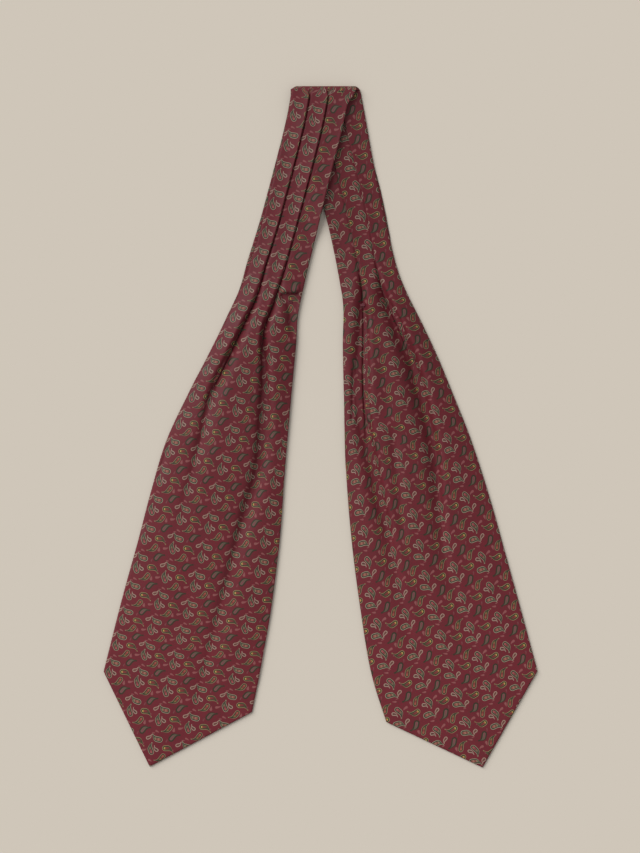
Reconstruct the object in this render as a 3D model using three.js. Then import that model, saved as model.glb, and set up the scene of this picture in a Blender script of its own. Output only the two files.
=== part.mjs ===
// Silk day cravat, folded once at the centre back and laid flat, in millimetres with +Z up.
// The cravat is a double layer of cloth with pointed ends. Its neckband is pressed into knife
// pleats, which open into soft creases down each leg. The left leg lies over the right one with
// its front up, and its two panels turn over the fold at the top. The right leg lies back side up.
// The surface under it is z = 0, and the origin is the middle of its outline on that surface.
import * as THREE from "three";

// Cloth walls
const LOWER_WALL = 1.0; // panels that rest on the surface
const UPPER_WALL = 1.2; // panels that show
const SEAM_GAP = 0.3; // between two panels that are sewn together
const EDGE_RADIUS = 1.6; // rounding of a turned edge
const EDGE_STEP = 0.35 * EDGE_RADIUS; // place of the point between the edge and the full wall
const EDGE_SHARE = 0.45; // share of the wall left at the very edge
const LOWER_INSET = 0.8; // a lower panel's edge sits this far inside the upper one's
const POINT_SLANT = 1.4; // how much further a distance runs when it meets the slanted end

// Pressed pleats
const PLEAT_STEP = 1.6; // height of a pleat's folded edge over the next strip
const PLEAT_LAP = 3.2; // how deep a strip laps over the next one
const LAP_GAP = 0.4; // air under a folded edge
const LAP_ROOT = 0.05; // rise of the next strip at the root of the lap
const NOSE = 0.35; // rounding of a folded edge

// The left leg is lifted where it crosses the right one, whose hidden edge runs from top to fork
const CROSSING_LIFT = 4.6;
const CROSSING_MARGIN = 1.5; // level stretch beside the leg underneath
const CROSSING_RAMP = 24; // width over which the cloth comes down to the surface
const CROSSING_SAG = 0.97; // share of the lift that the lower panel has
const CROSSING_TOP = { x: -26.5, drop: 0 };
const CROSSING_FORK = { x: 2.3, drop: 108.9 };
const CROSSING_END = 205; // below this drop neither leg is lifted

// Fold at the centre back, where the left leg's panels turn over to meet the right leg's
const FOLD_RADIUS = (LOWER_WALL + SEAM_GAP + CROSSING_LIFT + UPPER_WALL) / 2;
const FOLD_STEPS = 6;
const CORNER_SHARE = 0.7; // how round the top corners are, as a share of the fold's radius

// Spacing of the sections down a leg, and of the points across it
const CLOSE_SPACING = 13; // down to the end of the crossing
const OPEN_SPACING = 24;
const STRIP_STEPS = [3, 4, 3]; // for each of the three strips
const LOWER_STEPS = { left: 12, right: 2 };

// Each row of the two tables is one section across a leg, from its left edge to its right edge:
// leftX, leftDrop, rightX, rightDrop: its ends, with drop measured down from the top fold;
// crease1, crease2: where the two inner pleats lie, from the left end;
// step1, step2: height of the folded edge at each of them, 0 where the pleat is open;
// edgeStep: the same at the leg's own edge, where the last strip ends;
// dip1, dip2: depth of the soft trough that each pleat opens into, and soft its half width;
// crown: how high the cloth stands between the edges;
// point: how far the row's middle runs ahead of its ends, towards the pointed end.
const COLUMNS = [
  "leftX", "leftDrop", "rightX", "rightDrop", "crease1", "crease2",
  "step1", "step2", "edgeStep", "dip1", "dip2", "soft", "crown", "point",
];
const SMOOTH_COLUMNS = new Set(COLUMNS.slice(0, 6));

const LEFT_ROWS = [
  [-26.2, 3.5, 31.5, 3.5, 16.5, 33.5, 0, 0, 0, 0, 0, 2, 0, 0],
  [-26.9, 8.1, 28.6, 9.9, 16.2, 33.0, 1.2, 1.2, 0.6, 0, 0, 2, 0, 0],
  [-27.8, 12.6, 24.3, 16.2, 16.4, 33.1, 1.6, 1.6, 0.9, 0, 0, 2, 0, 0],
  [-31.4, 34.2, 18.3, 43.2, 15.7, 32.0, 1.6, 1.6, 0.9, 0, 0, 2, 0, 0],
  [-39.1, 66.6, 9.2, 78.8, 15.2, 31.5, 1.6, 1.6, 0.9, 0, 0, 2, 0, 0],
  [-52.3, 120.6, -4.1, 133.2, 14.0, 30.1, 1.6, 1.6, 0.9, 0, 0, 2, 0, 0],
  [-62.9, 156.6, -13.1, 170.1, 13.5, 30.6, 1.6, 1.6, 0.9, 0, 0, 2, 0, 0],
  [-72.7, 183.6, -20.6, 205.2, 15.4, 31.7, 1.6, 1.6, 0.9, 0, 0, 2.5, 1.0, 0],
  [-85.9, 210.6, -22.4, 233.1, 16.1, 35.6, 1.6, 1.3, 0.9, 0, 0.8, 3.5, 2.4, 0],
  [-104.0, 246.6, -26.2, 273.6, 17.0, 54.9, 1.5, 0, 0.8, 0.5, 2.6, 4.5, 3.4, 0],
  [-118.0, 273.6, -28.9, 304.2, 19.1, 68.6, 0.7, 0, 0.6, 1.0, 2.8, 5, 3.8, 0],
  [-139.1, 318.6, -32.9, 351.0, 30.1, 85.6, 0, 0, 0.4, 1.6, 2.6, 5.5, 3.6, 0],
  [-152.8, 363.6, -36.0, 396.0, 31.0, 86.7, 0, 0, 0, 0.8, 2.0, 6.5, 3.2, 0],
  [-164.6, 408.6, -41.0, 441.9, 32.0, 87.0, 0, 0, 0, 0, 1.4, 8, 2.6, 0],
  [-179.5, 462.6, -49.2, 498.2, 33.4, 88.5, 0, 0, 0, 0, 0.3, 9, 1.8, 33],
  [-195.8, 527.0, -62.1, 563.4, 35.4, 89.6, 0, 0, 0, 0, 0, 9, 0, 71.7],
];
const LEFT_POINT_AT = 0.451; // where the point lies, as a share of the width from the left

// The right leg's folded edges face left, so each strip laps over the one to its left.
const RIGHT_ROWS = [
  [-23.3, 3.8, 35.4, 3.8, 19.5, 37.5, 0, 0, 0, 0, 0, 2, 0, 0],
  [-20.7, 14.4, 36.6, 10.4, 19.2, 37.0, 1.4, 1.4, 0.9, 0, 0, 2, 0, 0],
  [-15.3, 37.8, 40.2, 29.7, 19.2, 37.0, 1.4, 1.4, 0.9, 0, 0, 2, 0, 0],
  [-6.8, 72.9, 45.6, 60.3, 19.2, 36.8, 1.4, 1.4, 0.9, 0, 0, 2, 0, 0],
  [2.3, 108.9, 52.9, 97.2, 19.4, 36.9, 1.4, 1.4, 0.9, 0, 0, 2, 0, 0],
  [9.5, 138.6, 59.5, 126.9, 18.9, 35.8, 1.4, 1.4, 0.9, 0, 0, 2, 0, 0],
  [16.6, 174.6, 68.0, 162.0, 19.3, 35.5, 1.4, 1.2, 0.9, 0.5, 0.5, 2.5, 0.8, 0],
  [20.1, 199.8, 77.0, 185.4, 18.7, 39.2, 1.0, 0.8, 0.8, 2.5, 2.5, 3.5, 2.8, 0],
  [19.6, 233.1, 90.5, 212.4, 19.9, 53.2, 0, 0.4, 0.6, 4.2, 4.4, 4.5, 4.6, 0],
  [20.3, 269.1, 105.2, 243.9, 18.8, 66.2, 0, 0.4, 0.6, 4.6, 4.8, 5, 5.0, 0],
  [20.8, 309.6, 120.0, 279.9, 21.0, 76.0, 0, 0, 0.4, 4.4, 4.0, 5.5, 4.8, 0],
  [23.0, 354.6, 135.2, 318.6, 27.3, 84.0, 0, 0, 0.2, 3.4, 3.0, 6, 4.2, 0],
  [27.5, 408.6, 151.5, 369.0, 34.4, 84.0, 0, 0, 0, 1.8, 2.2, 7.5, 3.4, 0],
  [34.3, 462.6, 165.9, 420.3, 38.0, 84.0, 0, 0, 0, 0.6, 0.8, 9, 2.4, 0],
  [44.6, 525.6, 182.3, 479.7, 43.0, 96.7, 0, 0, 0, 0, 0, 9, 1.6, 33],
  [58.8, 572.4, 194.9, 526.5, 44.0, 94.1, 0, 0, 0, 0, 0, 9, 0, 66.5],
];
const RIGHT_POINT_AT = 0.481;

const SILK_FACE = { color: 0x74242f, roughness: 0.62, metalness: 0 };
const SILK_BENEATH = { color: 0x66202a, roughness: 0.66, metalness: 0 };

function sectionsOf(rows) {
  return rows.map((row) => Object.fromEntries(COLUMNS.map((name, i) => [name, row[i]])));
}

// A smooth value through b and c, at share t of the way between them.
function catmullRom([a, b, c, d], t) {
  const bend = (2 * a - 5 * b + 4 * c - d) * t * t + (3 * b - a - 3 * c + d) * t * t * t;
  return 0.5 * (2 * b + (c - a) * t + bend);
}

// The section at share t of the way from row i to the next. Places follow a smooth curve.
function sectionBetween(rows, i, t) {
  const near = [i - 1, i, i + 1, i + 2].map((k) => rows[THREE.MathUtils.clamp(k, 0, rows.length - 1)]);
  const section = {};
  for (const name of COLUMNS) {
    const values = near.map((row) => row[name]);
    const smooth = SMOOTH_COLUMNS.has(name) && i > 0;
    section[name] = smooth ? catmullRom(values, t) : THREE.MathUtils.lerp(values[1], values[2], t);
  }
  return section;
}

// How far apart two sections are, at the nearer of their ends.
function runBetween(a, b) {
  const left = Math.hypot(b.leftX - a.leftX, b.leftDrop - a.leftDrop);
  const right = Math.hypot(b.rightX - a.rightX, b.rightDrop - a.rightDrop);
  return Math.min(left, right);
}

// All sections of a leg: the table's rows with more between them, and a few close to the end.
function refined(rows, endInset) {
  const sections = [];
  for (let i = 0; i < rows.length - 1; i += 1) {
    const spacing = rows[i].leftDrop < CROSSING_END ? CLOSE_SPACING : OPEN_SPACING;
    const steps = Math.max(1, Math.round(runBetween(rows[i], rows[i + 1]) / spacing));
    for (let k = 0; k < steps; k += 1) sections.push(sectionBetween(rows, i, k / steps));
  }
  const last = rows.length - 2;
  const run = runBetween(rows[last], rows[last + 1]);
  for (const inside of [EDGE_RADIUS, EDGE_STEP, 0]) {
    const section = sectionBetween(rows, last, 1 - ((inside + endInset) * POINT_SLANT) / run);
    sections.push({ ...section, fromEnd: inside });
  }
  return sections;
}

function smoothstep(t) {
  const k = THREE.MathUtils.clamp(t, 0, 1);
  return k * k * (3 - 2 * k);
}

// Height that the left leg is lifted to, to pass over the right one.
function crossingLift(x, drop) {
  const runX = CROSSING_FORK.x - CROSSING_TOP.x;
  const runDrop = CROSSING_FORK.drop - CROSSING_TOP.drop;
  const beside = (drop - CROSSING_TOP.drop) * runX - (x - CROSSING_TOP.x) * runDrop;
  const outside = beside / Math.hypot(runX, runDrop) - CROSSING_MARGIN;
  return CROSSING_LIFT * smoothstep(1 - outside / CROSSING_RAMP);
}

function widthOf(section) {
  return Math.hypot(section.rightX - section.leftX, section.rightDrop - section.leftDrop);
}

// Where a point lies that is a distance along a section, read from the side its strips start at.
function placeOn(leg, section, along) {
  const width = widthOf(section);
  const share = leg.lapsLeft ? 1 - along / width : along / width;
  const ahead = share < leg.pointAt ? share / leg.pointAt : (1 - share) / (1 - leg.pointAt);
  const acrossX = section.rightX - section.leftX;
  const acrossDrop = section.rightDrop - section.leftDrop;
  const run = (section.point * ahead) / width;
  return {
    x: section.leftX + acrossX * share - acrossDrop * run,
    drop: section.leftDrop + acrossDrop * share + acrossX * run,
  };
}

// The two creases in the order they are met, with places measured from where the strips start.
function creasesOf(leg, section) {
  const first = { at: section.crease1, step: section.step1, dip: section.dip1 };
  const second = { at: section.crease2, step: section.step2, dip: section.dip2 };
  if (!leg.lapsLeft) return [first, second];
  const width = widthOf(section);
  return [{ ...second, at: width - second.at }, { ...first, at: width - first.at }];
}

// Height of the cloth over the panel underneath: a low crown with a soft trough at each crease.
function openHeight(leg, section, along) {
  const fromMiddle = Math.abs((2 * along) / widthOf(section) - 1);
  let height = section.crown * (1 - fromMiddle ** 3);
  for (const crease of creasesOf(leg, section)) {
    height -= crease.dip * Math.exp(-(((along - crease.at) / section.soft) ** 2));
  }
  return Math.max(height, 0);
}

// Share of a wall's thickness, which is rounded off towards its edge and its pointed end.
function wallShare(section, inside) {
  const near = Math.min(inside, section.fromEnd ?? EDGE_RADIUS, EDGE_RADIUS) / EDGE_RADIUS;
  return EDGE_SHARE + (1 - EDGE_SHARE) * Math.sqrt(near * (2 - near));
}

// Points of a panel that shows, across one section. A strip rises to its folded edge, which laps
// over the next strip. As a pleat opens, the points of its lap spread over a soft trough.
// Each point has its place along the top, its rise there, and its place along the underside.
function upperPoints(leg, section) {
  const width = widthOf(section);
  const points = [];
  const add = (along, rise, under = along) => points.push({ along, rise, under });
  let start = 0;
  const addStrip = (strip, to, steps) => {
    const from = points.length ? points[points.length - 1].along : 0;
    const rise = (along) => (strip.step * (along - start)) / (strip.at - start);
    const first = Math.max(from, EDGE_RADIUS);
    if (!points.length) for (const inside of [0, EDGE_STEP, first]) add(inside, rise(inside));
    for (let k = 1; k <= steps; k += 1) {
      const along = THREE.MathUtils.lerp(first, to, k / steps);
      add(along, rise(along));
    }
  };
  for (const [i, crease] of creasesOf(leg, section).entries()) {
    const closed = Math.min(crease.step / PLEAT_STEP, 1);
    const place = (pressed, open) => crease.at + THREE.MathUtils.lerp(open * section.soft, pressed, closed);
    addStrip(crease, place(-1.6, -1.8), STRIP_STEPS[i]);
    add(place(-0.5, -1), crease.step, place(-1.1, -1));
    add(place(0, -0.45), crease.step - closed * NOSE, place(-0.7, -0.45));
    add(place(-0.3, 0), closed * LAP_GAP, place(-0.3, 0));
    add(place(-PLEAT_LAP, 0.45), closed * LAP_GAP, place(0.1, 0.45));
    add(place(-PLEAT_LAP, 1), closed * LAP_ROOT, place(0.45, 1));
    add(place(0.8, 1.8), 0);
    start = crease.at;
  }
  addStrip({ at: width, step: section.edgeStep }, width - EDGE_RADIUS, STRIP_STEPS[2]);
  for (const inside of [EDGE_STEP, 0]) add(width - inside, section.edgeStep);
  return points;
}

// A point in space. Drop runs down the page from the top fold, towards -Y.
function spot({ x, drop }, z) {
  return new THREE.Vector3(x, -drop, z);
}

// The panel that shows, as two rows of points for each section: its top and its underside.
function upperGrids(leg, sections) {
  const level = LOWER_WALL + SEAM_GAP;
  const top = [];
  const underside = [];
  for (const section of sections) {
    const width = widthOf(section);
    const points = upperPoints(leg, section);
    top.push(points.map(({ along, rise, under }) => {
      const place = placeOn(leg, section, along);
      const share = wallShare(section, Math.min(under, width - under));
      const height = openHeight(leg, section, along) + (UPPER_WALL + rise) * share;
      return spot(place, level + leg.lift(place.x, place.drop) + height);
    }));
    underside.push(points.map(({ under }) => {
      const place = placeOn(leg, section, under);
      const height = openHeight(leg, section, under);
      return spot(place, level + leg.lift(place.x, place.drop) + height);
    }));
  }
  return { top, underside };
}

// The panel that rests on the surface, or on the leg it crosses.
function lowerGrids(leg, sections) {
  const top = [];
  const underside = [];
  for (const section of sections) {
    const width = widthOf(section) - 2 * LOWER_INSET;
    const peak = width * (leg.lapsLeft ? 1 - leg.pointAt : leg.pointAt);
    const insides = [0, EDGE_STEP];
    for (let k = 0; k <= leg.lowerSteps; k += 1) {
      const half = (2 * k) / leg.lowerSteps;
      const early = THREE.MathUtils.lerp(EDGE_RADIUS, peak, half);
      insides.push(half <= 1 ? early : THREE.MathUtils.lerp(peak, width - EDGE_RADIUS, half - 1));
    }
    insides.push(width - EDGE_STEP, width);
    const places = insides.map((inside) => placeOn(leg, section, inside + LOWER_INSET));
    const lifts = places.map(({ x, drop }) => CROSSING_SAG * leg.lift(x, drop));
    underside.push(places.map((place, k) => spot(place, lifts[k])));
    top.push(places.map((place, k) => {
      const inside = Math.min(insides[k], width - insides[k]);
      return spot(place, lifts[k] + LOWER_WALL * wallShare(section, inside));
    }));
  }
  return { top, underside };
}

// Turns a panel over the fold at the top. Its first section swings half a turn about the fold's
// middle, and slides across to where the other leg begins.
function turnedOver({ top, underside }, farEdge) {
  const nearDrop = -top[0][0].y;
  const nearEdge = [top[0][0].x, top[0][top[0].length - 1].x];
  const swing = (row, turn) => row.map((point) => {
    const share = (point.x - nearEdge[0]) / (nearEdge[1] - nearEdge[0]);
    const along = turn / Math.PI;
    const radius = point.z - FOLD_RADIUS;
    const pinch = CORNER_SHARE * FOLD_RADIUS * (1 - Math.abs(Math.cos(turn)));
    const left = THREE.MathUtils.lerp(nearEdge[0], farEdge[0], along) + pinch;
    const right = THREE.MathUtils.lerp(nearEdge[1], farEdge[1], along) - pinch;
    const drop = nearDrop - radius * Math.sin(turn);
    const height = FOLD_RADIUS + radius * Math.cos(turn);
    return spot({ x: THREE.MathUtils.lerp(left, right, share), drop }, height);
  });
  const turns = [];
  for (let k = FOLD_STEPS; k > 0; k -= 1) turns.push((Math.PI * k) / FOLD_STEPS);
  return {
    top: [...turns.map((turn) => swing(top[0], turn)), ...top],
    underside: [...turns.map((turn) => swing(underside[0], turn)), ...underside],
  };
}

// A closed wall between two grids of points, with its faces pointing out.
function wallBetween({ top, underside }) {
  const rows = top.length;
  const columns = top[0].length;
  const positions = [...top.flat(), ...underside.flat()].flatMap((point) => point.toArray());
  const at = (layer, row, column) => layer * rows * columns + row * columns + column;
  const indices = [];
  const quad = (a, b, c, d) => indices.push(a, b, c, a, c, d);
  for (let row = 0; row < rows - 1; row += 1) {
    for (let column = 0; column < columns - 1; column += 1) {
      quad(at(0, row, column), at(0, row + 1, column), at(0, row + 1, column + 1), at(0, row, column + 1));
      quad(at(1, row, column), at(1, row, column + 1), at(1, row + 1, column + 1), at(1, row + 1, column));
    }
    const end = columns - 1;
    quad(at(0, row, 0), at(1, row, 0), at(1, row + 1, 0), at(0, row + 1, 0));
    quad(at(0, row, end), at(0, row + 1, end), at(1, row + 1, end), at(1, row, end));
  }
  for (let column = 0; column < columns - 1; column += 1) {
    const end = rows - 1;
    quad(at(0, 0, column), at(0, 0, column + 1), at(1, 0, column + 1), at(1, 0, column));
    quad(at(0, end, column), at(1, end, column), at(1, end, column + 1), at(0, end, column + 1));
  }
  const geometry = new THREE.BufferGeometry();
  geometry.setAttribute("position", new THREE.Float32BufferAttribute(positions, 3));
  geometry.setIndex(indices);
  if (enclosedVolume(geometry) < 0) {
    const faces = geometry.getIndex();
    for (let i = 0; i < faces.count; i += 3) {
      const kept = faces.getX(i + 1);
      faces.setX(i + 1, faces.getX(i + 2));
      faces.setX(i + 2, kept);
    }
  }
  geometry.computeVertexNormals();
  return geometry;
}

// Volume inside a closed mesh, negative when its faces point inwards.
function enclosedVolume(geometry) {
  const place = geometry.getAttribute("position");
  const faces = geometry.getIndex();
  const corner = (i) => new THREE.Vector3().fromBufferAttribute(place, faces.getX(i));
  let volume = 0;
  for (let i = 0; i < faces.count; i += 3) {
    volume += corner(i).dot(corner(i + 1).cross(corner(i + 2))) / 6;
  }
  return volume;
}

function panel(name, grids, finish) {
  const mesh = new THREE.Mesh(wallBetween(grids), new THREE.MeshStandardMaterial(finish));
  mesh.name = name;
  return mesh;
}

const leftLeg = {
  rows: sectionsOf(LEFT_ROWS),
  pointAt: LEFT_POINT_AT,
  lapsLeft: false,
  lift: crossingLift,
  lowerSteps: LOWER_STEPS.left,
};
const rightLeg = {
  rows: sectionsOf(RIGHT_ROWS),
  pointAt: RIGHT_POINT_AT,
  lapsLeft: true,
  lift: () => 0,
  lowerSteps: LOWER_STEPS.right,
};

const farUpper = [rightLeg.rows[0].leftX, rightLeg.rows[0].rightX];
const farLower = [farUpper[0] + LOWER_INSET, farUpper[1] - LOWER_INSET];
const leftFront = turnedOver(upperGrids(leftLeg, refined(leftLeg.rows, 0)), farUpper);
const leftBack = turnedOver(lowerGrids(leftLeg, refined(leftLeg.rows, LOWER_INSET)), farLower);
const rightBack = upperGrids(rightLeg, refined(rightLeg.rows, 0));
const rightFront = lowerGrids(rightLeg, refined(rightLeg.rows, LOWER_INSET));

const cravat = new THREE.Group();
cravat.add(
  panel("left_front_panel", leftFront, SILK_FACE),
  panel("left_back_panel", leftBack, SILK_BENEATH),
  panel("right_back_panel", rightBack, SILK_FACE),
  panel("right_front_panel", rightFront, SILK_BENEATH),
);

// The origin is the middle of the outline on the surface.
const middle = new THREE.Box3().setFromObject(cravat).getCenter(new THREE.Vector3());
cravat.position.set(-middle.x, -middle.y, 0);

export default cravat;
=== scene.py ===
"""A printed silk day cravat, folded at the centre back and laid flat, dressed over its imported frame.

Four thin silk panels follow the forms of the four solids they replace: the left leg lies on top with
its front up, and the right leg passes beneath it with its back up. Lengths in the tables are in
millimetres, with x to the right and drop measured down from the top fold.
"""

import logging
import math
from dataclasses import astuple, dataclass, field, replace
from enum import Enum
from typing import Callable, Sequence

import bpy
import numpy as np
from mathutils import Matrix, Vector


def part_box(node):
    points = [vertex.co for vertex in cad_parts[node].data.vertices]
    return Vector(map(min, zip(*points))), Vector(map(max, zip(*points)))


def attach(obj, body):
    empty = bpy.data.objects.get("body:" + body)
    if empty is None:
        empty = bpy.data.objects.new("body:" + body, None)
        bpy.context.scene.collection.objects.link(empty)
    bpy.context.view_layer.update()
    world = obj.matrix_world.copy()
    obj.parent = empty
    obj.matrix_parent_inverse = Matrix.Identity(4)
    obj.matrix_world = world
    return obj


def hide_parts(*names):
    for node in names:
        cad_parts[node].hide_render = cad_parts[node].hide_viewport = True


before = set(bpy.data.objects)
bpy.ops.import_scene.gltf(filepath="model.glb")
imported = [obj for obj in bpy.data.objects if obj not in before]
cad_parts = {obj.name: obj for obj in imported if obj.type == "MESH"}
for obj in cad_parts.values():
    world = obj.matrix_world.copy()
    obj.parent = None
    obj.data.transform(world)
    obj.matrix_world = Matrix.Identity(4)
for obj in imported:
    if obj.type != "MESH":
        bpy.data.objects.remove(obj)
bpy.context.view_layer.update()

LOG = logging.getLogger("cravat")

Pair = tuple[float, float]
Ink = tuple[int, int, int]  # a printed colour in screen values, from 0 to 255
Socket = bpy.types.NodeSocket

MM = 0.001  # one millimetre, in metres
PRINT_MAP = "print_repeat"  # the map of each panel's place in the print, counted in repeats

# The cloth and the space each panel takes, in millimetres
LAYER_GAP = 0.06  # air between two layers of a pressed pleat
LEVEL = 1.3  # height of the upper panel's underside over the surface
FACE_LEVEL = 1.2  # height of its printed face over that
SEAM_LEVEL = 1.12  # height of the seam between the two panels of a leg
SEAM_SPLIT = 0.12  # half the opening between the two edges of a seam
EDGE_RADIUS = 1.7  # rounding of a turned edge
EDGE_FREE = 3.0  # creases fade out over this distance from an edge
TURN_REACH = 11.0  # how far the cloth runs back under a folded edge of a leg
LAP_RISE = 2.5  # how late a strip rises on its way to its folded edge
UNDERFOLD_REACH = 14.0  # how far it runs back under a pleat
CLOSED_STEP = 1.15  # height of a folded edge over which its pleat lies pressed flat
OPEN_REACH = 1.8  # how far an open pleat's columns reach, in half widths of its trough
STEEP_SHARE = 0.4  # a trough's half width beside the folded edge, as a share of the other
LINE_WIDTH = 0.8  # half width of the sharp line in an opened pleat
LOWEST = -0.45  # how far a trough may take the cloth below its own level
DEEPEST = -1.6  # how far a groove or an underfold may lie below it
POINT_SLANT = 1.4  # how much further a distance runs when it meets the slanted end

# The left leg is lifted where it passes over the right leg's left edge
CROSSING_LIFT = 4.6  # height of the lift
CROSSING_MARGIN = 1.5  # how far outside that edge it is still whole
CROSSING_RAMP = 17.0  # how far it then takes to come down
CROSSING_SAG = 0.97  # share of it that the lower panel's printed face takes
CROSSING_TOP = (-26.5, 0.0)  # x and drop of the edge at the top fold
CROSSING_FORK = (2.3, 108.9)  # x and drop of the edge at the fork

# The fold at the centre back
FOLD_RADIUS = 3.55  # height of its axis over the surface
FOLD_TOP_DROP = -0.05  # drop of its outermost line
FOLD_STEPS = 12  # rows of points round it
FOLD_PINCH = 0.7  # how round the top corners are, as a share of the fold's radius

# The print's repeat on the flat cloth, and how that cloth is counted
REPEAT_ACROSS = 27.3
REPEAT_DOWN = 27.0
BAND_ROW = 5.0  # table row from which the print is counted along a leg
BAND_SOFT = 2.0  # the table's soft value along the pressed band
SPREAD = 0.6  # share of an opened pleat's cloth that is spread over the whole section
RELIEF_SHARE = 0.1  # share of a crease's height that counts in the length of cloth over it
STEEPEST = 0.3  # least share of a stride's square that counts down the cloth


def smoothstep(value: np.ndarray) -> np.ndarray:
    """A smooth rise from 0 to 1 as value goes from 0 to 1."""
    share = np.clip(value, 0, 1)
    return share * share * (3 - 2 * share)


def blend(a: np.ndarray, b: np.ndarray, share: np.ndarray) -> np.ndarray:
    """The value at a share of the way from a to b."""
    return a + (b - a) * share


def round_over(inside: np.ndarray) -> np.ndarray:
    """Share of full height at a distance inside an edge, on a quarter round."""
    near = np.clip(inside / EDGE_RADIUS, 0, 1)
    return np.sqrt(near * (2 - near))


def in_frame(points: np.ndarray, shift: Pair) -> list[list[float]]:
    """Points of the table moved to the frame, in metres, by where the table's zero lies in it."""
    return (points * MM + np.array([*shift, 0.0])).tolist()


def into_scene(name: str, data: bpy.types.ID) -> bpy.types.Object:
    """Makes an object and links it to the scene.

    Args:
        name: its name.
        data: its mesh, light or camera.

    Returns:
        The object.
    """
    made = bpy.data.objects.new(name, data)
    bpy.context.scene.collection.objects.link(made)
    return made


class Facing(Enum):
    """Which way a panel's printed face looks."""

    UP = 1
    DOWN = -1


@dataclass(frozen=True)
class Pressing:
    """How the panels that face one way are pressed, in millimetres.

    step_share is the height of their folded edges, as a share of the table's. closed_step is
    the height over which a pleat lies pressed flat, groove the depth beside a folded edge, and
    inset how far a panel's edges lie inside the leg's outline.
    """

    wall: float
    step_share: float
    closed_step: float
    groove: float
    inset: float


PRESSINGS = {
    Facing.UP: Pressing(
        wall=0.25, step_share=1.0, closed_step=CLOSED_STEP, groove=1.2, inset=0.0
    ),
    Facing.DOWN: Pressing(wall=0.12, step_share=0.35, closed_step=0.8, groove=0.0, inset=0.5),
}


@dataclass(frozen=True)
class Row:
    """One section across a leg, from its left edge to its right edge, in millimetres.

    crease1 and crease2 are where the inner pleats lie, from the left end. step1, step2 and
    edge_step are the heights of folded edges, and dip1 and dip2 the depths of the troughs that
    the pleats open into, with soft their half width. crown is the height of the open cloth's
    middle, and point how far the pointed end stands out. hide1 and hide2 are the cloth that each
    pleat takes up, and line1 and line2 the depths of the sharp lines left where they opened.
    """

    left_x: float
    left_drop: float
    right_x: float
    right_drop: float
    crease1: float
    crease2: float
    step1: float
    step2: float
    edge_step: float
    dip1: float
    dip2: float
    soft: float
    crown: float
    point: float
    hide1: float
    hide2: float
    line1: float = 0.0
    line2: float = 0.0


@dataclass(frozen=True)
class SoftCrease:
    """A soft trough in the cloth, or a ridge where its depth is negative.

    points are (x, drop) places along it, width is its half width, and fade is the length over
    which each end runs out.
    """

    points: tuple[Pair, ...]
    depth: float
    width: float
    fade: Pair

    def height(self, x: np.ndarray, drop: np.ndarray) -> np.ndarray:
        """Height that this crease adds at each place.

        Args:
            x: places across, in millimetres.
            drop: places down from the top fold, in millimetres.

        Returns:
            The heights, in millimetres, negative in a trough.
        """
        nearest = np.full(x.shape, np.inf)
        along = np.zeros(x.shape)
        run = 0.0
        for (ax, ad), (bx, bd) in zip(self.points, self.points[1:]):
            length = math.hypot(bx - ax, bd - ad)
            share = ((x - ax) * (bx - ax) + (drop - ad) * (bd - ad)) / length**2
            share = np.clip(share, 0, 1)
            away = np.hypot(x - ax - share * (bx - ax), drop - ad - share * (bd - ad))
            closer = away < nearest
            nearest = np.where(closer, away, nearest)
            along = np.where(closer, run + share * length, along)
            run += length
        ends = smoothstep(along / self.fade[0]) * smoothstep((run - along) / self.fade[1])
        return -self.depth * ends * np.exp(-((nearest / self.width) ** 2))


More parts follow.
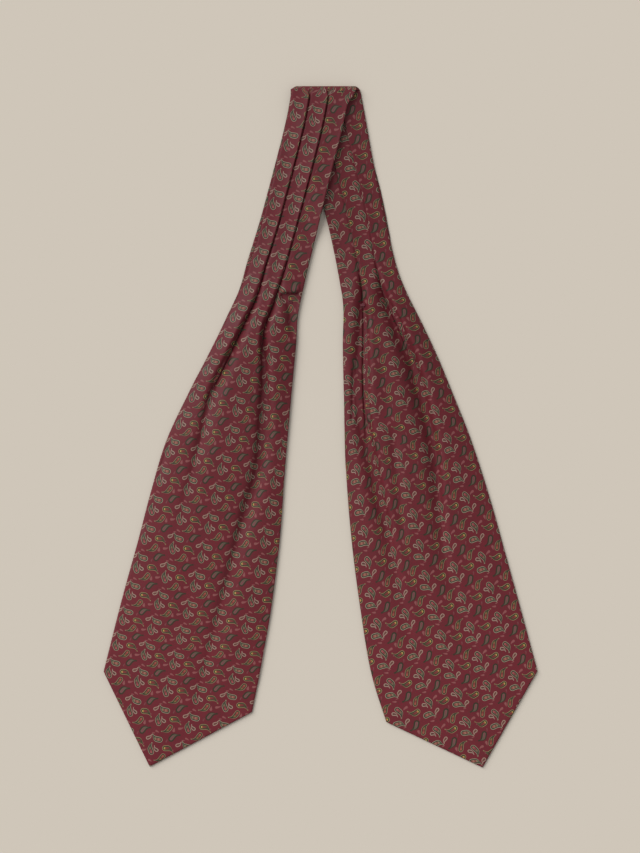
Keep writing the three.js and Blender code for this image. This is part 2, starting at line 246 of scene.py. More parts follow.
class Sections:
    """Sections across a leg, each column of its table as an array with one row a section."""

    STRAIGHT_COLUMNS = ("point",)  # they change along straight lines
    FINE_ROWS = (6, 7)  # table rows below which sections stand closer, round the tack
    FINER = 2.6  # how many times closer
    END_INSETS = (EDGE_RADIUS, 1.2, 0.8, 0.45, 0.2, 0.05, 0.0)  # of the last sections
    LEAST_GAP = 0.01  # between two sections, in table rows

    def __init__(self, rows: Sequence[Row], spacing: float, end_inset: float) -> None:
        """Interpolates the table.

        Args:
            rows: the leg's table.
            spacing: distance between sections, in millimetres.
            end_inset: how far inside the pointed end the last section lies.
        """
        table = np.array([astuple(row) for row in rows], float)
        places, insets = self._places(table, spacing, end_inset)
        self.place = places[:, None]
        self.from_end = insets[:, None]
        names = list(Row.__dataclass_fields__)
        smooth = self._interpolate(table, places, smooth=True)
        straight = self._interpolate(table, places, smooth=False)
        for k, name in enumerate(names):
            source = straight if name in self.STRAIGHT_COLUMNS else smooth
            setattr(self, name, source[:, k : k + 1])
        for name in names[names.index("step1") :]:
            setattr(self, name, np.maximum(getattr(self, name), 0))
        self.across_x = self.right_x - self.left_x
        self.across_drop = self.right_drop - self.left_drop
        self.width = np.hypot(self.across_x, self.across_drop)
        self.count = len(places)

    def _places(
        self, table: np.ndarray, spacing: float, end_inset: float
    ) -> tuple[np.ndarray, np.ndarray]:
        """Fractional table rows of all sections, and how far inside the end each one is.

        Args:
            table: the leg's table as numbers.
            spacing: distance between sections.
            end_inset: how far inside the pointed end the last section lies.

        Returns:
            The fractional rows, and the distances from the end.
        """
        left = np.hypot(*np.diff(table[:, 0:2], axis=0).T)
        right = np.hypot(*np.diff(table[:, 2:4], axis=0).T)
        runs = np.minimum(left, right)
        places: list[float] = []
        for i, run in enumerate(runs):
            finer = self.FINER if i in self.FINE_ROWS else 1.0
            steps = max(1, round(run * finer / spacing))
            places += [i + k / steps for k in range(steps)]
        last = len(runs)
        reach = POINT_SLANT * (end_inset + EDGE_RADIUS) / runs[-1]
        kept = [place for place in places if place < last - reach - self.LEAST_GAP]
        ends = [last - POINT_SLANT * (end_inset + inset) / runs[-1] for inset in self.END_INSETS]
        insets = [EDGE_RADIUS] * len(kept) + list(self.END_INSETS)
        return np.array(kept + ends), np.array(insets)

    @staticmethod
    def _interpolate(table: np.ndarray, places: np.ndarray, smooth: bool) -> np.ndarray:
        """Rows of the table at fractional places.

        Args:
            table: the leg's table as numbers.
            places: the fractional rows.
            smooth: whether values follow a smooth curve after the first row.

        Returns:
            One row of values for each place.
        """
        last = len(table) - 1
        i = np.clip(np.floor(places).astype(int), 0, last - 1)
        t = (places - i)[:, None]
        a, b, c, d = (table[np.clip(i + k, 0, last)] for k in (-1, 0, 1, 2))
        line = b + (c - b) * t
        if not smooth:
            return line
        bend = (2 * a - 5 * b + 4 * c - d) * t**2 + (3 * b - a - 3 * c + d) * t**3
        return np.where(i[:, None] > 0, 0.5 * (2 * b + (c - a) * t + bend), line)


@dataclass(frozen=True)
class Crease:
    """One pleat down a leg, as arrays with one row a section, from the side its strips start."""

    at: np.ndarray
    step: np.ndarray
    hide: np.ndarray
    cut: np.ndarray
    dip: np.ndarray
    line: np.ndarray

    def trough(self, along: np.ndarray, soft: np.ndarray) -> np.ndarray:
        """Depth of the trough that the pleat opens into.

        Args:
            along: places along each section.
            soft: half width of the trough on the side that passes under.

        Returns:
            The depths, in millimetres, steeper on the side of the folded edge.
        """
        past = along - self.at
        width = np.where(past > 0, soft, STEEP_SHARE * soft)
        sharp = self.line * np.exp(-((past / LINE_WIDTH) ** 2))
        return self.dip * np.exp(-((past / width) ** 2)) + sharp


@dataclass(frozen=True)
class PrintLie:
    """How the print lies on a leg's flat cloth, in millimetres.

    start is the place of a motif that the repeat is counted from. upright is 1 where the print
    runs down the leg and -1 where it runs up, and slant is how far its rows drop for each unit
    across. It has run ahead by gain once it is gain_run past gain_from, counted down the leg.
    """

    start: Pair
    upright: int
    slant: float
    gain: float
    gain_from: float
    gain_run: float

    def repeats(self, across: np.ndarray, down: np.ndarray) -> np.ndarray:
        """Places in the print, counted in repeats.

        Args:
            across: places across the flat cloth.
            down: places down it.

        Returns:
            The repeats across and down, in the last axis.
        """
        drawn = down + self.gain * smoothstep((down - self.gain_from) / self.gain_run)
        u = across - self.start[0]
        v = self.upright * drawn + self.slant * u - self.start[1]
        return np.stack([u / REPEAT_ACROSS, v / REPEAT_DOWN], axis=-1)


@dataclass(frozen=True)
class Leg:
    """One leg: its table, its pointed end, which way its strips lap and its soft creases.

    point_at is where the point stands, as a share of the end from its left, and flat_width the
    width of the flat cloth. Each of its tucks pushes the cloth down the leg by its height,
    over the hollow beneath it. band_groove is the share of the grooves' depth that is left in
    the pressed band.
    """

    rows: tuple[Row, ...]
    point_at: float
    from_right: bool
    flat_width: float
    lift: Callable[[np.ndarray, np.ndarray], np.ndarray]
    creases: tuple[SoftCrease, ...]
    lie: PrintLie
    tucks: tuple[SoftCrease, ...] = ()
    band_groove: float = 1.0

    def place(
        self, rows: Sections, along: np.ndarray, from_right: bool
    ) -> tuple[np.ndarray, np.ndarray]:
        """Where points across the sections lie.

        Args:
            rows: the sections.
            along: distances along each section, one column a point.
            from_right: whether they are counted from the right end.

        Returns:
            Their x and their drop, in millimetres.
        """
        share = along / rows.width
        share = 1 - share if from_right else share
        near = share / self.point_at
        ahead = np.where(share < self.point_at, near, (1 - share) / (1 - self.point_at))
        run = rows.point * ahead / rows.width
        x = rows.left_x + rows.across_x * share - rows.across_drop * run
        drop = rows.left_drop + rows.across_drop * share + rows.across_x * run
        return x, drop

    def open_height(self, rows: Sections, along: np.ndarray) -> np.ndarray:
        """Height of the open cloth of the upper panel, over the panel underneath.

        Args:
            rows: the sections.
            along: distances along each section, from the side where its strips start.

        Returns:
            A low crown with a trough at each pleat and at each soft crease, in millimetres.
        """
        middle = np.abs(2 * along / rows.width - 1)
        height = rows.crown * (1 - middle**3)
        for crease in self.pleats(rows, Facing.UP):
            height = height - crease.trough(along, rows.soft)
        x, drop = self.place(rows, along, self.from_right)
        inside = np.minimum(along, rows.width - along)
        extra = sum(crease.height(x, drop) for crease in self.creases)
        return height + smoothstep(inside / EDGE_FREE) * extra

    def pleats(self, rows: Sections, facing: Facing) -> list[Crease]:
        """The two pleats in the order they are met, with places on the flat cloth.

        Args:
            rows: the sections.
            facing: which panel they are on. The panel beneath shows each pleat's other edge.

        Returns:
            The two creases.
        """
        order = [
            (rows.crease1, rows.step1, rows.hide1, rows.dip1, rows.line1),
            (rows.crease2, rows.step2, rows.hide2, rows.dip2, rows.line2),
        ]
        from_right = self.from_right
        if facing is Facing.DOWN:
            side = 1 if from_right else -1
            order = [
                (at + side * np.minimum(hide / 2, UNDERFOLD_REACH), step, hide, dip, line)
                for at, step, hide, dip, line in order
            ]
            from_right = not from_right
        if from_right:
            order = [(rows.width - at, *rest) for at, *rest in reversed(order)]
        hidden = 0.0
        found = []
        for at, step, hide, dip, line in order:
            kept = hide * (1 - self.spread_share(step))
            found.append(Crease(at, step, kept, at + hidden, dip, line))
            hidden = hidden + kept
        return found

    @staticmethod
    def spread_share(step: np.ndarray) -> np.ndarray:
        """Share of a pleat's cloth that is spread evenly where the pleat has opened."""
        return SPREAD * (1 - smoothstep(step / CLOSED_STEP))

    def spread_cloth(self, rows: Sections) -> np.ndarray:
        """Cloth of the opened pleats that is spread evenly over each section."""
        first = rows.hide1 * self.spread_share(rows.step1)
        return first + rows.hide2 * self.spread_share(rows.step2)


def crossing_lift(x: np.ndarray, drop: np.ndarray) -> np.ndarray:
    """Height that the left leg is lifted to, to pass over the right one.

    Args:
        x: places across, in millimetres.
        drop: places down from the top fold, in millimetres.

    Returns:
        The lift at each place, in millimetres.
    """
    run_x = CROSSING_FORK[0] - CROSSING_TOP[0]
    run_drop = CROSSING_FORK[1] - CROSSING_TOP[1]
    beside = (drop - CROSSING_TOP[1]) * run_x - (x - CROSSING_TOP[0]) * run_drop
    outside = beside / math.hypot(run_x, run_drop) - CROSSING_MARGIN
    return CROSSING_LIFT * smoothstep(1 - outside / CROSSING_RAMP)


def flat_lift(x: np.ndarray, drop: np.ndarray) -> np.ndarray:
    """No lift, for the leg that lies on the surface."""
    return np.zeros(np.broadcast(x, drop).shape)


LEFT_ROWS = (
    # left edge, right edge, creases, steps, dips, soft, crown, point, hides, lines
    Row(-26.2, 3.5, 31.5, 3.5, 16.5, 33.5, 0, 0, 0, 0, 0, 2, 0, 0, 37.1, 25.4),
    Row(-26.9, 8.1, 28.6, 9.9, 16.2, 33.0, 1.2, 1.2, 0.6, 0, 0, 2, 0, 0, 37.1, 25.4),
    Row(-27.8, 12.6, 24.3, 16.2, 16.4, 33.1, 1.6, 1.6, 0.9, 0, 0, 2, 0, 0, 37.1, 25.4),
    Row(-31.4, 34.2, 18.3, 43.2, 15.7, 32.0, 1.6, 1.6, 0.9, 0, 0, 2, 0, 0, 37.1, 25.4),
    Row(-39.1, 66.6, 9.2, 78.8, 15.2, 31.5, 1.6, 1.6, 0.9, 0, 0, 2, 0, 0, 37.1, 25.4),
    Row(-52.3, 120.6, -4.1, 133.2, 14.0, 30.1, 1.6, 1.6, 0.9, 0, 0, 2, 0, 0, 37.1, 25.4),
    Row(-62.9, 156.6, -13.1, 170.1, 13.5, 30.6, 1.6, 1.6, 0.9, 1.0, 1.0, 2.4, 1.6, 0, 37.1, 25.4),
    Row(-72.7, 183.6, -20.6, 205.2, 15.4, 31.7, 1.6, 1.6, 0.9, 3.0, 3.6, 3.4, 3.6, 0, 36.5, 13),
    Row(-85.9, 210.6, -22.4, 233.1, 16.1, 35.6, 1.6, 1.3, 0.9, 5.0, 6.0, 4.4, 5.2, 0, 34.6, 8),
    Row(-104.0, 246.6, -26.2, 273.6, 17.0, 54.9, 1.5, 0, 0.8, 5.6, 7.4, 6, 6.0, 0, 24.2, 4.5),
    Row(-118.0, 273.6, -28.9, 304.2, 19.1, 68.6, 0.7, 0, 0.6, 4.0, 7.2, 7.5, 6.0, 0, 15, 6.5),
    Row(-139.1, 318.6, -32.9, 351.0, 30.1, 85.6, 0, 0, 0.4, 2.2, 6.2, 8, 6.2, 0, 5, 7.5),
    Row(-152.8, 363.6, -36.0, 396.0, 31.0, 86.7, 0, 0, 0, 0.9, 4.6, 9, 5.2, 0, 1, 5.5),
    Row(-164.6, 408.6, -41.0, 441.9, 32.0, 87.0, 0, 0, 0, 0, 3.2, 10, 4.2, 0, 0, 3),
    Row(-179.5, 462.6, -49.2, 498.2, 33.4, 88.5, 0, 0, 0, 0, 1.4, 10, 2.8, 33, 0, 0),
    Row(-195.8, 527.0, -62.1, 563.4, 35.4, 89.6, 0, 0, 0, 0, 0, 9, 0, 71.7, 0, 0),
)

RIGHT_ROWS = (
    # left edge, right edge, creases, steps, dips, soft, crown, point, hides, lines
    Row(-23.3, 3.8, 35.4, 3.8, 19.5, 37.5, 0, 0, 0, 0, 0, 2, 0, 0, 30, 30.4),
    Row(-20.7, 14.4, 36.6, 10.4, 19.2, 37.0, 1.4, 1.4, 0.9, 0, 0, 2, 0, 0, 30, 30.4),
    Row(-15.3, 37.8, 40.2, 29.7, 19.2, 37.0, 1.4, 1.4, 0.9, 0, 0, 2, 0, 0, 30, 30.4),
    Row(-6.8, 72.9, 45.6, 60.3, 19.2, 36.8, 1.4, 1.4, 0.9, 0, 0, 2, 0, 0, 30, 30.4),
    Row(2.3, 108.9, 52.9, 97.2, 19.4, 36.9, 1.4, 1.4, 0.9, 0, 0, 2, 0, 0, 29.9, 29.8),
    Row(9.5, 138.6, 59.5, 126.9, 18.9, 35.8, 1.4, 1.4, 0.9, 0, 0, 2, 0, 0, 28.9, 29.3),
    Row(16.6, 174.6, 68.0, 162.0, 19.3, 35.5, 1.4, 1.4, 0.9, 1.4, 1.4, 3.2, 2.2, 0, 28.6, 29.5),
    Row(20.1, 199.8, 77.0, 185.4, 18.7, 39.2, 1.3, 1.3, 0.8, 6.8, 7.2, 6.8, 6.4, 0, 27.6, 27, 0, 0.2),
    Row(19.6, 233.1, 90.5, 212.4, 19.9, 53.2, 1.2, 1.1, 0.6, 10.0, 10.6, 9.5, 9.2, 0, 28.5, 19, 0, 0.6),
    Row(20.3, 269.1, 105.2, 243.9, 18.8, 66.2, 1.2, 0.8, 0.6, 10.6, 11.2, 10.5, 9.8, 0, 38, 11.4, 0.3, 1.5),
    Row(20.8, 309.6, 120.0, 279.9, 21.0, 76.0, 1.0, 0, 0.4, 9.6, 9.2, 10, 9.0, 0, 31.5, 6.4, 1.0, 1.6),
    Row(23.0, 354.6, 135.2, 318.6, 27.3, 84.0, 0.1, 0, 0.2, 7.2, 6.8, 9, 7.6, 0, 20.5, 4.8, 0.8, 0.3),
    Row(27.5, 408.6, 151.5, 369.0, 34.4, 84.0, 0, 0, 0, 4.6, 4.4, 8, 5.8, 0, 11, 3.5),
    Row(34.3, 462.6, 165.9, 420.3, 38.0, 84.0, 0, 0, 0, 1.8, 2.2, 9, 3.8, 0, 5.3, 0),
    Row(44.6, 525.6, 182.3, 479.7, 43.0, 96.7, 0, 0, 0, 0, 0.6, 9, 2.0, 33, 0, 0),
    Row(58.8, 572.4, 194.9, 526.5, 44.0, 94.1, 0, 0, 0, 0, 0, 9, 0, 66.5, 0, 0),
)

LEFT_CREASES = (
    # places along it, depth, half width, fade at each end
    SoftCrease(((-38.0, 181.6), (-19.0, 182.6)), -2.2, 2.6, (6, 1)),
    SoftCrease(((-38.0, 188.4), (-20.5, 190.0)), 8.0, 3.9, (6, 1)),
    SoftCrease(((-27.0, 190.0), (-24.0, 205.0), (-25.5, 232.0)), 6.0, 5.0, (3, 24)),
    SoftCrease(((-36.5, 198.0), (-33.0, 218.0)), -1.6, 4.5, (6, 10)),
    SoftCrease(((-49.5, 226.0), (-46.0, 256.0)), 1.4, 4.0, (12, 14)),
    SoftCrease(((-52.7, 262.0), (-54.9, 327.6), (-68.4, 381.6), (-84.2, 431.1)), 1.1, 6.0, (30, 60)),
    SoftCrease(((-84.2, 242.1), (-97.7, 273.6)), 1.1, 4.0, (10, 12)),
    SoftCrease(((-105.3, 308.7), (-118.4, 342.9)), 1.0, 5.0, (12, 16)),
    SoftCrease(((-135.9, 309.6), (-149.4, 359.1)), 1.0, 4.0, (14, 18)),
    SoftCrease(((-162.9, 392.0), (-160.0, 428.0)), -0.7, 8.0, (14, 14)),
    SoftCrease(((-77.4, 480.0), (-80.0, 518.0)), -0.7, 9.0, (16, 16)),
    SoftCrease(((-110.0, 420.0), (-126.0, 500.0)), 0.5, 9.0, (30, 30)),
)

RIGHT_CREASES = (
    # places along it, depth, half width, fade at each end
    SoftCrease(((46.0, 196.0), (56.0, 250.0), (62.0, 320.0)), 1.6, 8.0, (12, 50)),
    SoftCrease(((28.8, 254.0), (28.2, 296.0), (26.6, 305.0)), 2.2, 0.9, (8, 8)),
    SoftCrease(((46.4, 336.6), (53.1, 381.6), (62.1, 413.1)), 1.5, 5.0, (14, 30)),
    SoftCrease(((64.5, 300.0), (67.0, 340.0), (72.0, 385.0), (76.0, 415.0)), 2.0, 4.5, (20, 26)),
    SoftCrease(((94.0, 288.5), (107.1, 395.1)), 1.1, 5.0, (14, 40)),
    SoftCrease(((88.0, 440.0), (104.0, 500.0)), 0.5, 9.0, (24, 24)),
    SoftCrease(((60.0, 470.0), (72.0, 530.0)), -0.5, 9.0, (24, 24)),
)

LEFT_LEG = Leg(
    rows=LEFT_ROWS, point_at=0.451, from_right=False, flat_width=138.4, lift=crossing_lift,
    creases=LEFT_CREASES,
    lie=PrintLie(start=(8.0, 0.4), upright=1, slant=0.0, gain=10.5, gain_from=335, gain_run=100),
    tucks=(SoftCrease(((-38.0, 182.0), (-20.0, 183.2)), -2.6, 3.4, (5, 3)),),
)
RIGHT_LEG = Leg(
    rows=RIGHT_ROWS, point_at=0.481, from_right=True, flat_width=143.8, lift=flat_lift,
    creases=RIGHT_CREASES,
    lie=PrintLie(start=(24.5, 6.6), upright=-1, slant=0.045, gain=-6.0, gain_from=190, gain_run=220),
    band_groove=0.2,
)


class Profile:
    """Columns of points across a panel, gathered from one side to the other.

    Each column has a place along the section, a rise of the printed face over the strip's
    start and a place on the flat cloth. edge_columns is how many of them make the far edge, and
    folded is how far that edge is turned under in each section, from 0 to 1.
    """

    def __init__(self, count: int) -> None:
        """Starts with no columns.

        Args:
            count: number of sections.
        """
        self.count = count
        self.along: list[np.ndarray] = []
        self.rise: list[np.ndarray] = []
        self.cloth: list[np.ndarray] = []
        self.hidden: list[bool] = []
        self.edge_columns = 0
        self.folded = np.zeros((count, 1))

    def add(
        self, along: np.ndarray, rise: np.ndarray, cloth: np.ndarray, hidden: bool = False
    ) -> None:
        """Adds one column.

        Args:
            along: its place along each section.
            rise: its height over the strip's start.
            cloth: its place on the flat cloth.
            hidden: whether it lies inside a pleat.
        """
        shape = (self.count, 1)
        self.along.append(np.broadcast_to(along, shape))
        self.rise.append(np.broadcast_to(rise, shape))
        self.cloth.append(np.broadcast_to(cloth, shape))
        self.hidden.append(hidden)

    def add_each(
        self, along: np.ndarray, rise: np.ndarray, cloth: np.ndarray, inner: range = range(0)
    ) -> None:
        """Adds several columns.

        Args:
            along: their places along each section.
            rise: their heights over the strip's start.
            cloth: their places on the flat cloth.
            inner: which of them lie inside a pleat.
        """
        for k in range(along.shape[1]):
            one = slice(k, k + 1)
            self.add(along[:, one], rise[:, one], cloth[:, one], k in inner)

    def add_strip(
        self,
        to: tuple[np.ndarray, np.ndarray],
        start: np.ndarray,
        crease_at: np.ndarray,
        step: np.ndarray,
        columns: int,
    ) -> None:
        """Adds the columns of a strip, from the last one to where the strip's edge begins.

        Args:
            to: place along and place on the cloth where the strip ends.
            start: place along where its rise is 0.
            crease_at: place along where its rise is the whole step.
            step: height of its far edge.
            columns: how many columns it has.
        """
        first_along, first_cloth = self.along[-1], self.cloth[-1]
        for k in range(1, columns):
            along = blend(first_along, to[0], k / columns)
            cloth = blend(first_cloth, to[1], k / columns)
            share = np.clip((along - start) / (crease_at - start), 0, 1)
            self.add(along, step * share**LAP_RISE, cloth)

    def arrays(self) -> tuple[np.ndarray, np.ndarray, np.ndarray]:
        """All columns as arrays: place along, rise and place on the cloth."""
        return tuple(np.hstack(part) for part in (self.along, self.rise, self.cloth))


@dataclass
class PleatShape:
    """Shape of a pleat across its section, between pressed flat and open.

    Its columns go round the folded edge, back under it, forth again below, and past it.
    """

    NOSE = np.radians([90, 45, 0, -45, -90])  # turns round the folded edge
    NOSE_SHARE = 0.45  # its radius as a share of the step, within the two limits
    NOSE_LIMITS = (0.02, 0.62)
    NOSE_SHOWN = 2  # columns round it whose cloth shows
    ROOM = 0.5  # least distance from the underfold to where the strip starts
    BEND = 0.2  # how far the underfold's own bend stands out
    BACK = np.array([0.35, 0.7, 1.0])  # shares of the way back
    FORTH = np.array([0.0, 0.5, 1.0])  # shares of the way forth
    PAST = np.array([0.5, 0.9, 1.25, 1.7, 2.5])  # distances past the folded edge
    SUNK = np.array([1.0, 0.88, 0.45, 0.12, 0.0])  # shares of the groove's depth there
    TAKEN = np.array(  # share of the pleat's cloth that is used up at each column
        [0, 0.005, 0.01, 0.03, 0.05, 0.2, 0.35, 0.49, 0.5, 0.51, 0.75, 0.98, 1, 1, 1, 1, 1]
    )
    OPEN_CROWDING = 1.5  # how much closer the open columns stand at the middle

    crease: Crease
    soft: np.ndarray
    strip_start: np.ndarray
    pressing: Pressing
    groove: np.ndarray

    def columns(self) -> tuple[np.ndarray, np.ndarray, np.ndarray]:
        """Points through the pleat.

        Returns:
            Place along from the crease, rise, and place on the cloth from the folded edge.
        """
        step, hide = self.crease.step, self.crease.hide
        strip = self.crease.at - self.strip_start
        wall = self.pressing.wall
        closed = smoothstep(step / (self.pressing.closed_step * self.pressing.step_share))
        radius = np.clip((step - wall / 2) * self.NOSE_SHARE, *self.NOSE_LIMITS)
        reach = np.minimum(np.minimum(hide / 2, UNDERFOLD_REACH), strip - self.ROOM)
        nose_along = radius * (np.cos(self.NOSE) - 1)
        root = step * (1 - np.clip(reach / strip, 0, 1)) ** LAP_RISE - 2 * wall - LAYER_GAP
        pressed_along = np.hstack([
            nose_along,
            blend(-radius, -reach, self.BACK),
            -reach - self.BEND,
            blend(-reach, 0 * reach, self.FORTH),
            0 * reach + self.PAST,
        ])
        pressed_rise = np.hstack([
            step - radius + radius * np.sin(self.NOSE),
            blend(step - 2 * radius, root, self.BACK),
            root - LAYER_GAP / 2,
            blend(root - LAYER_GAP, -self.groove, self.FORTH),
            -self.groove * self.SUNK,
        ])
        pressed_cloth = hide * self.TAKEN
        pressed_cloth[:, : self.NOSE_SHOWN] += nose_along[:, : self.NOSE_SHOWN]
        pressed_cloth[:, -len(self.PAST) :] += self.PAST
        k = np.linspace(-1, 1, len(self.TAKEN))
        open_along = OPEN_REACH * self.soft * np.sign(k) * np.abs(k) ** self.OPEN_CROWDING
        open_cloth = open_along + hide * smoothstep((k + 1) / 2)
        return (
            blend(open_along, pressed_along, closed),
            pressed_rise * closed,
            blend(open_cloth, pressed_cloth, closed),
        )


@dataclass
class ClothPanel:
    """One silk panel of a leg, as a thin shell with its pleats folded in it.

    far_ends is where the panel ends across, once it has turned over the fold at the top.
    """

    NEAR_EDGE = (0.0, 0.1, 0.35, 0.75, 1.2, EDGE_RADIUS)  # distances inside the sewn edge
    EDGE_TURNS = np.radians(np.linspace(90, -90, 7))  # turns round a turned edge
    ROUND_EDGE = np.array([0.2, 0.4, 0.7])  # cloth past the edge at the last of them
    UNDER_EDGE = np.linspace(0.2, 1, 5)  # shares of the way back under it
    TURN_PINCH = 0.15  # how much flatter the turned edge is than the leg
    FULLY_TURNED = 6.0  # cloth past the edge that makes a full turned edge

    name: str
    leg: Leg
    facing: Facing
    spacing: float
    strip_columns: tuple[int, int, int]
    far_ends: Pair | None = None
    grid: np.ndarray = field(init=False, default=None)
    flat: np.ndarray = field(init=False, default=None)
    turned_rows: int = field(init=False, default=0)

    @property
    def pressing(self) -> Pressing:
        """How this panel is pressed."""
        return PRESSINGS[self.facing]

    def build_grid(self) -> None:
        """Works out the panel's points and their places on the flat cloth."""
        lower = self.facing is Facing.DOWN
        rows = Sections(self.leg.rows, self.spacing, self.pressing.inset)
        profile = self._profile(rows)
        along, rise, cloth = profile.arrays()
        cloth = cloth + self.leg.spread_cloth(rows) * np.clip(along / rows.width, 0, 1)
        x, drop = self.leg.place(rows, along, self.leg.from_right != lower)
        lift = self.leg.lift(x, drop)
        if lower:
            z = self._lower_height(rows, along, rise, lift)
        else:
            z = self._upper_height(rows, along, lift, profile)
        points = np.stack([x, -drop, z], axis=-1)
        if self.far_ends:
            points, cloth = self._turned_over(points, cloth)
        self.turned_rows = len(points) - rows.count
        reference = self.turned_rows + int(np.argmin(np.abs(rows.place - BAND_ROW)))
        down = self._down_the_cloth(points, cloth, reference, profile.hidden)
        if not lower:
            at_x, at_drop = points[..., 0], -points[..., 1]
            for tuck in self.leg.tucks:
                points[..., 1] -= tuck.height(at_x, at_drop)
        self.grid = points
        self.flat = np.stack([cloth, down], axis=-1)

    def _profile(self, rows: Sections) -> Profile:
        """The panel's columns, from the side where its strips start.

        Args:
            rows: the sections.

        Returns:
            The gathered columns.
        """
        pressing = self.pressing
        opening = smoothstep((rows.soft - BAND_SOFT) / BAND_SOFT)
        groove = pressing.groove * blend(self.leg.band_groove, 1.0, opening)
        profile = Profile(rows.count)
        zero = np.zeros((rows.count, 1))
        for inside in self.NEAR_EDGE:
            profile.add(pressing.inset + inside, zero, pressing.inset + inside)
        start = zero
        for crease, columns in zip(self.leg.pleats(rows, self.facing), self.strip_columns):
            crease = replace(crease, step=crease.step * pressing.step_share)
            along, rise, cloth = PleatShape(crease, rows.soft, start, pressing, groove).columns()
            along, cloth = crease.at + along, crease.cut + cloth
            to = (along[:, :1], cloth[:, :1])
            profile.add_strip(to, start, crease.at, crease.step, columns)
            profile.add_each(along, rise, cloth, inner=range(1, along.shape[1] - 1))
            start = along[:, -1:]
        self._add_far_edge(profile, rows, start)
        return profile

    def _add_far_edge(self, profile: Profile, rows: Sections, start: np.ndarray) -> None:
        """Adds the last strip and the panel's far edge, which is turned under or sewn.

        Args:
            profile: the columns so far.
            rows: the sections.
            start: place along where the last strip starts.
        """
        lower = self.facing is Facing.DOWN
        width = rows.width - self.pressing.inset
        used = rows.width + rows.hide1 + rows.hide2
        edge_cut = used - self.leg.spread_cloth(rows)
        turned = np.maximum(self.leg.flat_width - used, 0)
        folded = np.zeros_like(turned) if lower else smoothstep(turned / self.FULLY_TURNED)
        step = np.zeros_like(width) if lower else rows.edge_step
        radius = (FACE_LEVEL + step - self.TURN_PINCH) / 2
        reach = np.minimum(turned, TURN_REACH)
        turn, under = self.EDGE_TURNS, self.UNDER_EDGE
        fold_along = np.hstack([width - radius + radius * np.cos(turn),
                                width - radius - reach * under])
        fold_rise = np.hstack([step - radius + radius * np.sin(turn),
                               step - 2 * radius + 0 * under])
        upper_turn = turn[: len(turn) - len(self.ROUND_EDGE)]
        fold_cloth = np.hstack([edge_cut - radius * (1 - np.cos(upper_turn)),
                                edge_cut + self.ROUND_EDGE,
                                edge_cut - radius + (turned + radius) * under])
        inside = EDGE_RADIUS * (1 - np.linspace(0, 1, fold_along.shape[1])) ** 2
        along = blend(width - inside, fold_along, folded)
        rise = blend(step, fold_rise, folded)
        cloth = blend(edge_cut - inside, fold_cloth, folded)
        to = (along[:, :1], cloth[:, :1])
        profile.add_strip(to, start, width, step, self.strip_columns[-1])
        profile.add_each(along, rise, cloth)
        profile.edge_columns = along.shape[1]
        profile.folded = folded

    def _upper_height(
        self, rows: Sections, along: np.ndarray, lift: np.ndarray, profile: Profile
    ) -> np.ndarray:
        """Heights of the printed face of a panel that shows.

        Args:
            rows: the sections.
            along: places along each section.
            lift: how far the leg is lifted at each point.
            profile: the panel's columns.

        Returns:
            The heights, in millimetres.
        """
        rise = profile.arrays()[1]
        opened = self.leg.open_height(rows, np.clip(along, 0, rows.width))
        seam = lift + SEAM_LEVEL + SEAM_SPLIT
        folded = np.maximum(np.maximum(opened, LOWEST) + rise, DEEPEST)
        face = lift + LEVEL + FACE_LEVEL + folded
        near = round_over(along)
        far = round_over(rows.width - along)
        edge = profile.edge_columns
        sewn = np.ones_like(far)
        sewn[:, -edge:] = blend(far[:, -edge:], 1, profile.folded)
        sewn = np.where(along < EDGE_RADIUS, 1, sewn)
        return blend(seam, face, near * sewn * round_over(rows.from_end))

    def _lower_height(
        self, rows: Sections, along: np.ndarray, rise: np.ndarray, lift: np.ndarray
    ) -> np.ndarray:
        """Heights of the printed face of a panel that rests on the surface, which looks down.

        Args:
            rows: the sections.
            along: places along each section.
            rise: heights over the strips' starts, turned upside down here.
            lift: how far the leg is lifted at each point.

        Returns:
            The heights, in millimetres.
        """
        highest = rise.max(axis=1, keepdims=True)
        face = CROSSING_SAG * lift + highest - rise
        seam = lift + SEAM_LEVEL - SEAM_SPLIT
        inside = np.minimum(along, rows.width - along) - self.pressing.inset
        return blend(seam, face, round_over(inside) * round_over(rows.from_end))

    def _turned_over(
        self, points: np.ndarray, cloth: np.ndarray
    ) -> tuple[np.ndarray, np.ndarray]:
        """Turns the panel over the fold at the top, to meet the other leg.

        Args:
            points: the panel's points.
            cloth: their places across the flat cloth.

        Returns:
            Points and places with the turned rows in front.
        """
        first = points[0]
        ends = first[:, 0].min(), first[:, 0].max()
        share = (first[:, 0] - ends[0]) / (ends[1] - ends[0])
        arm = first[:, 2] - FOLD_RADIUS
        turned = []
        for turn in np.linspace(math.pi, 0, FOLD_STEPS + 1)[:-1]:
            slid = turn / math.pi
            pinch = FOLD_PINCH * FOLD_RADIUS * (1 - abs(math.cos(turn)))
            left = blend(ends[0], self.far_ends[0], slid) + pinch
            right = blend(ends[1], self.far_ends[1], slid) - pinch
            y = first[:, 1] + arm * math.sin(turn)
            z = FOLD_RADIUS + arm * math.cos(turn)
            turned.append(np.stack([blend(left, right, share), y, z], axis=-1))
        rows = np.repeat(cloth[:1], FOLD_STEPS, axis=0)
        return np.concatenate([np.array(turned), points]), np.concatenate([rows, cloth])

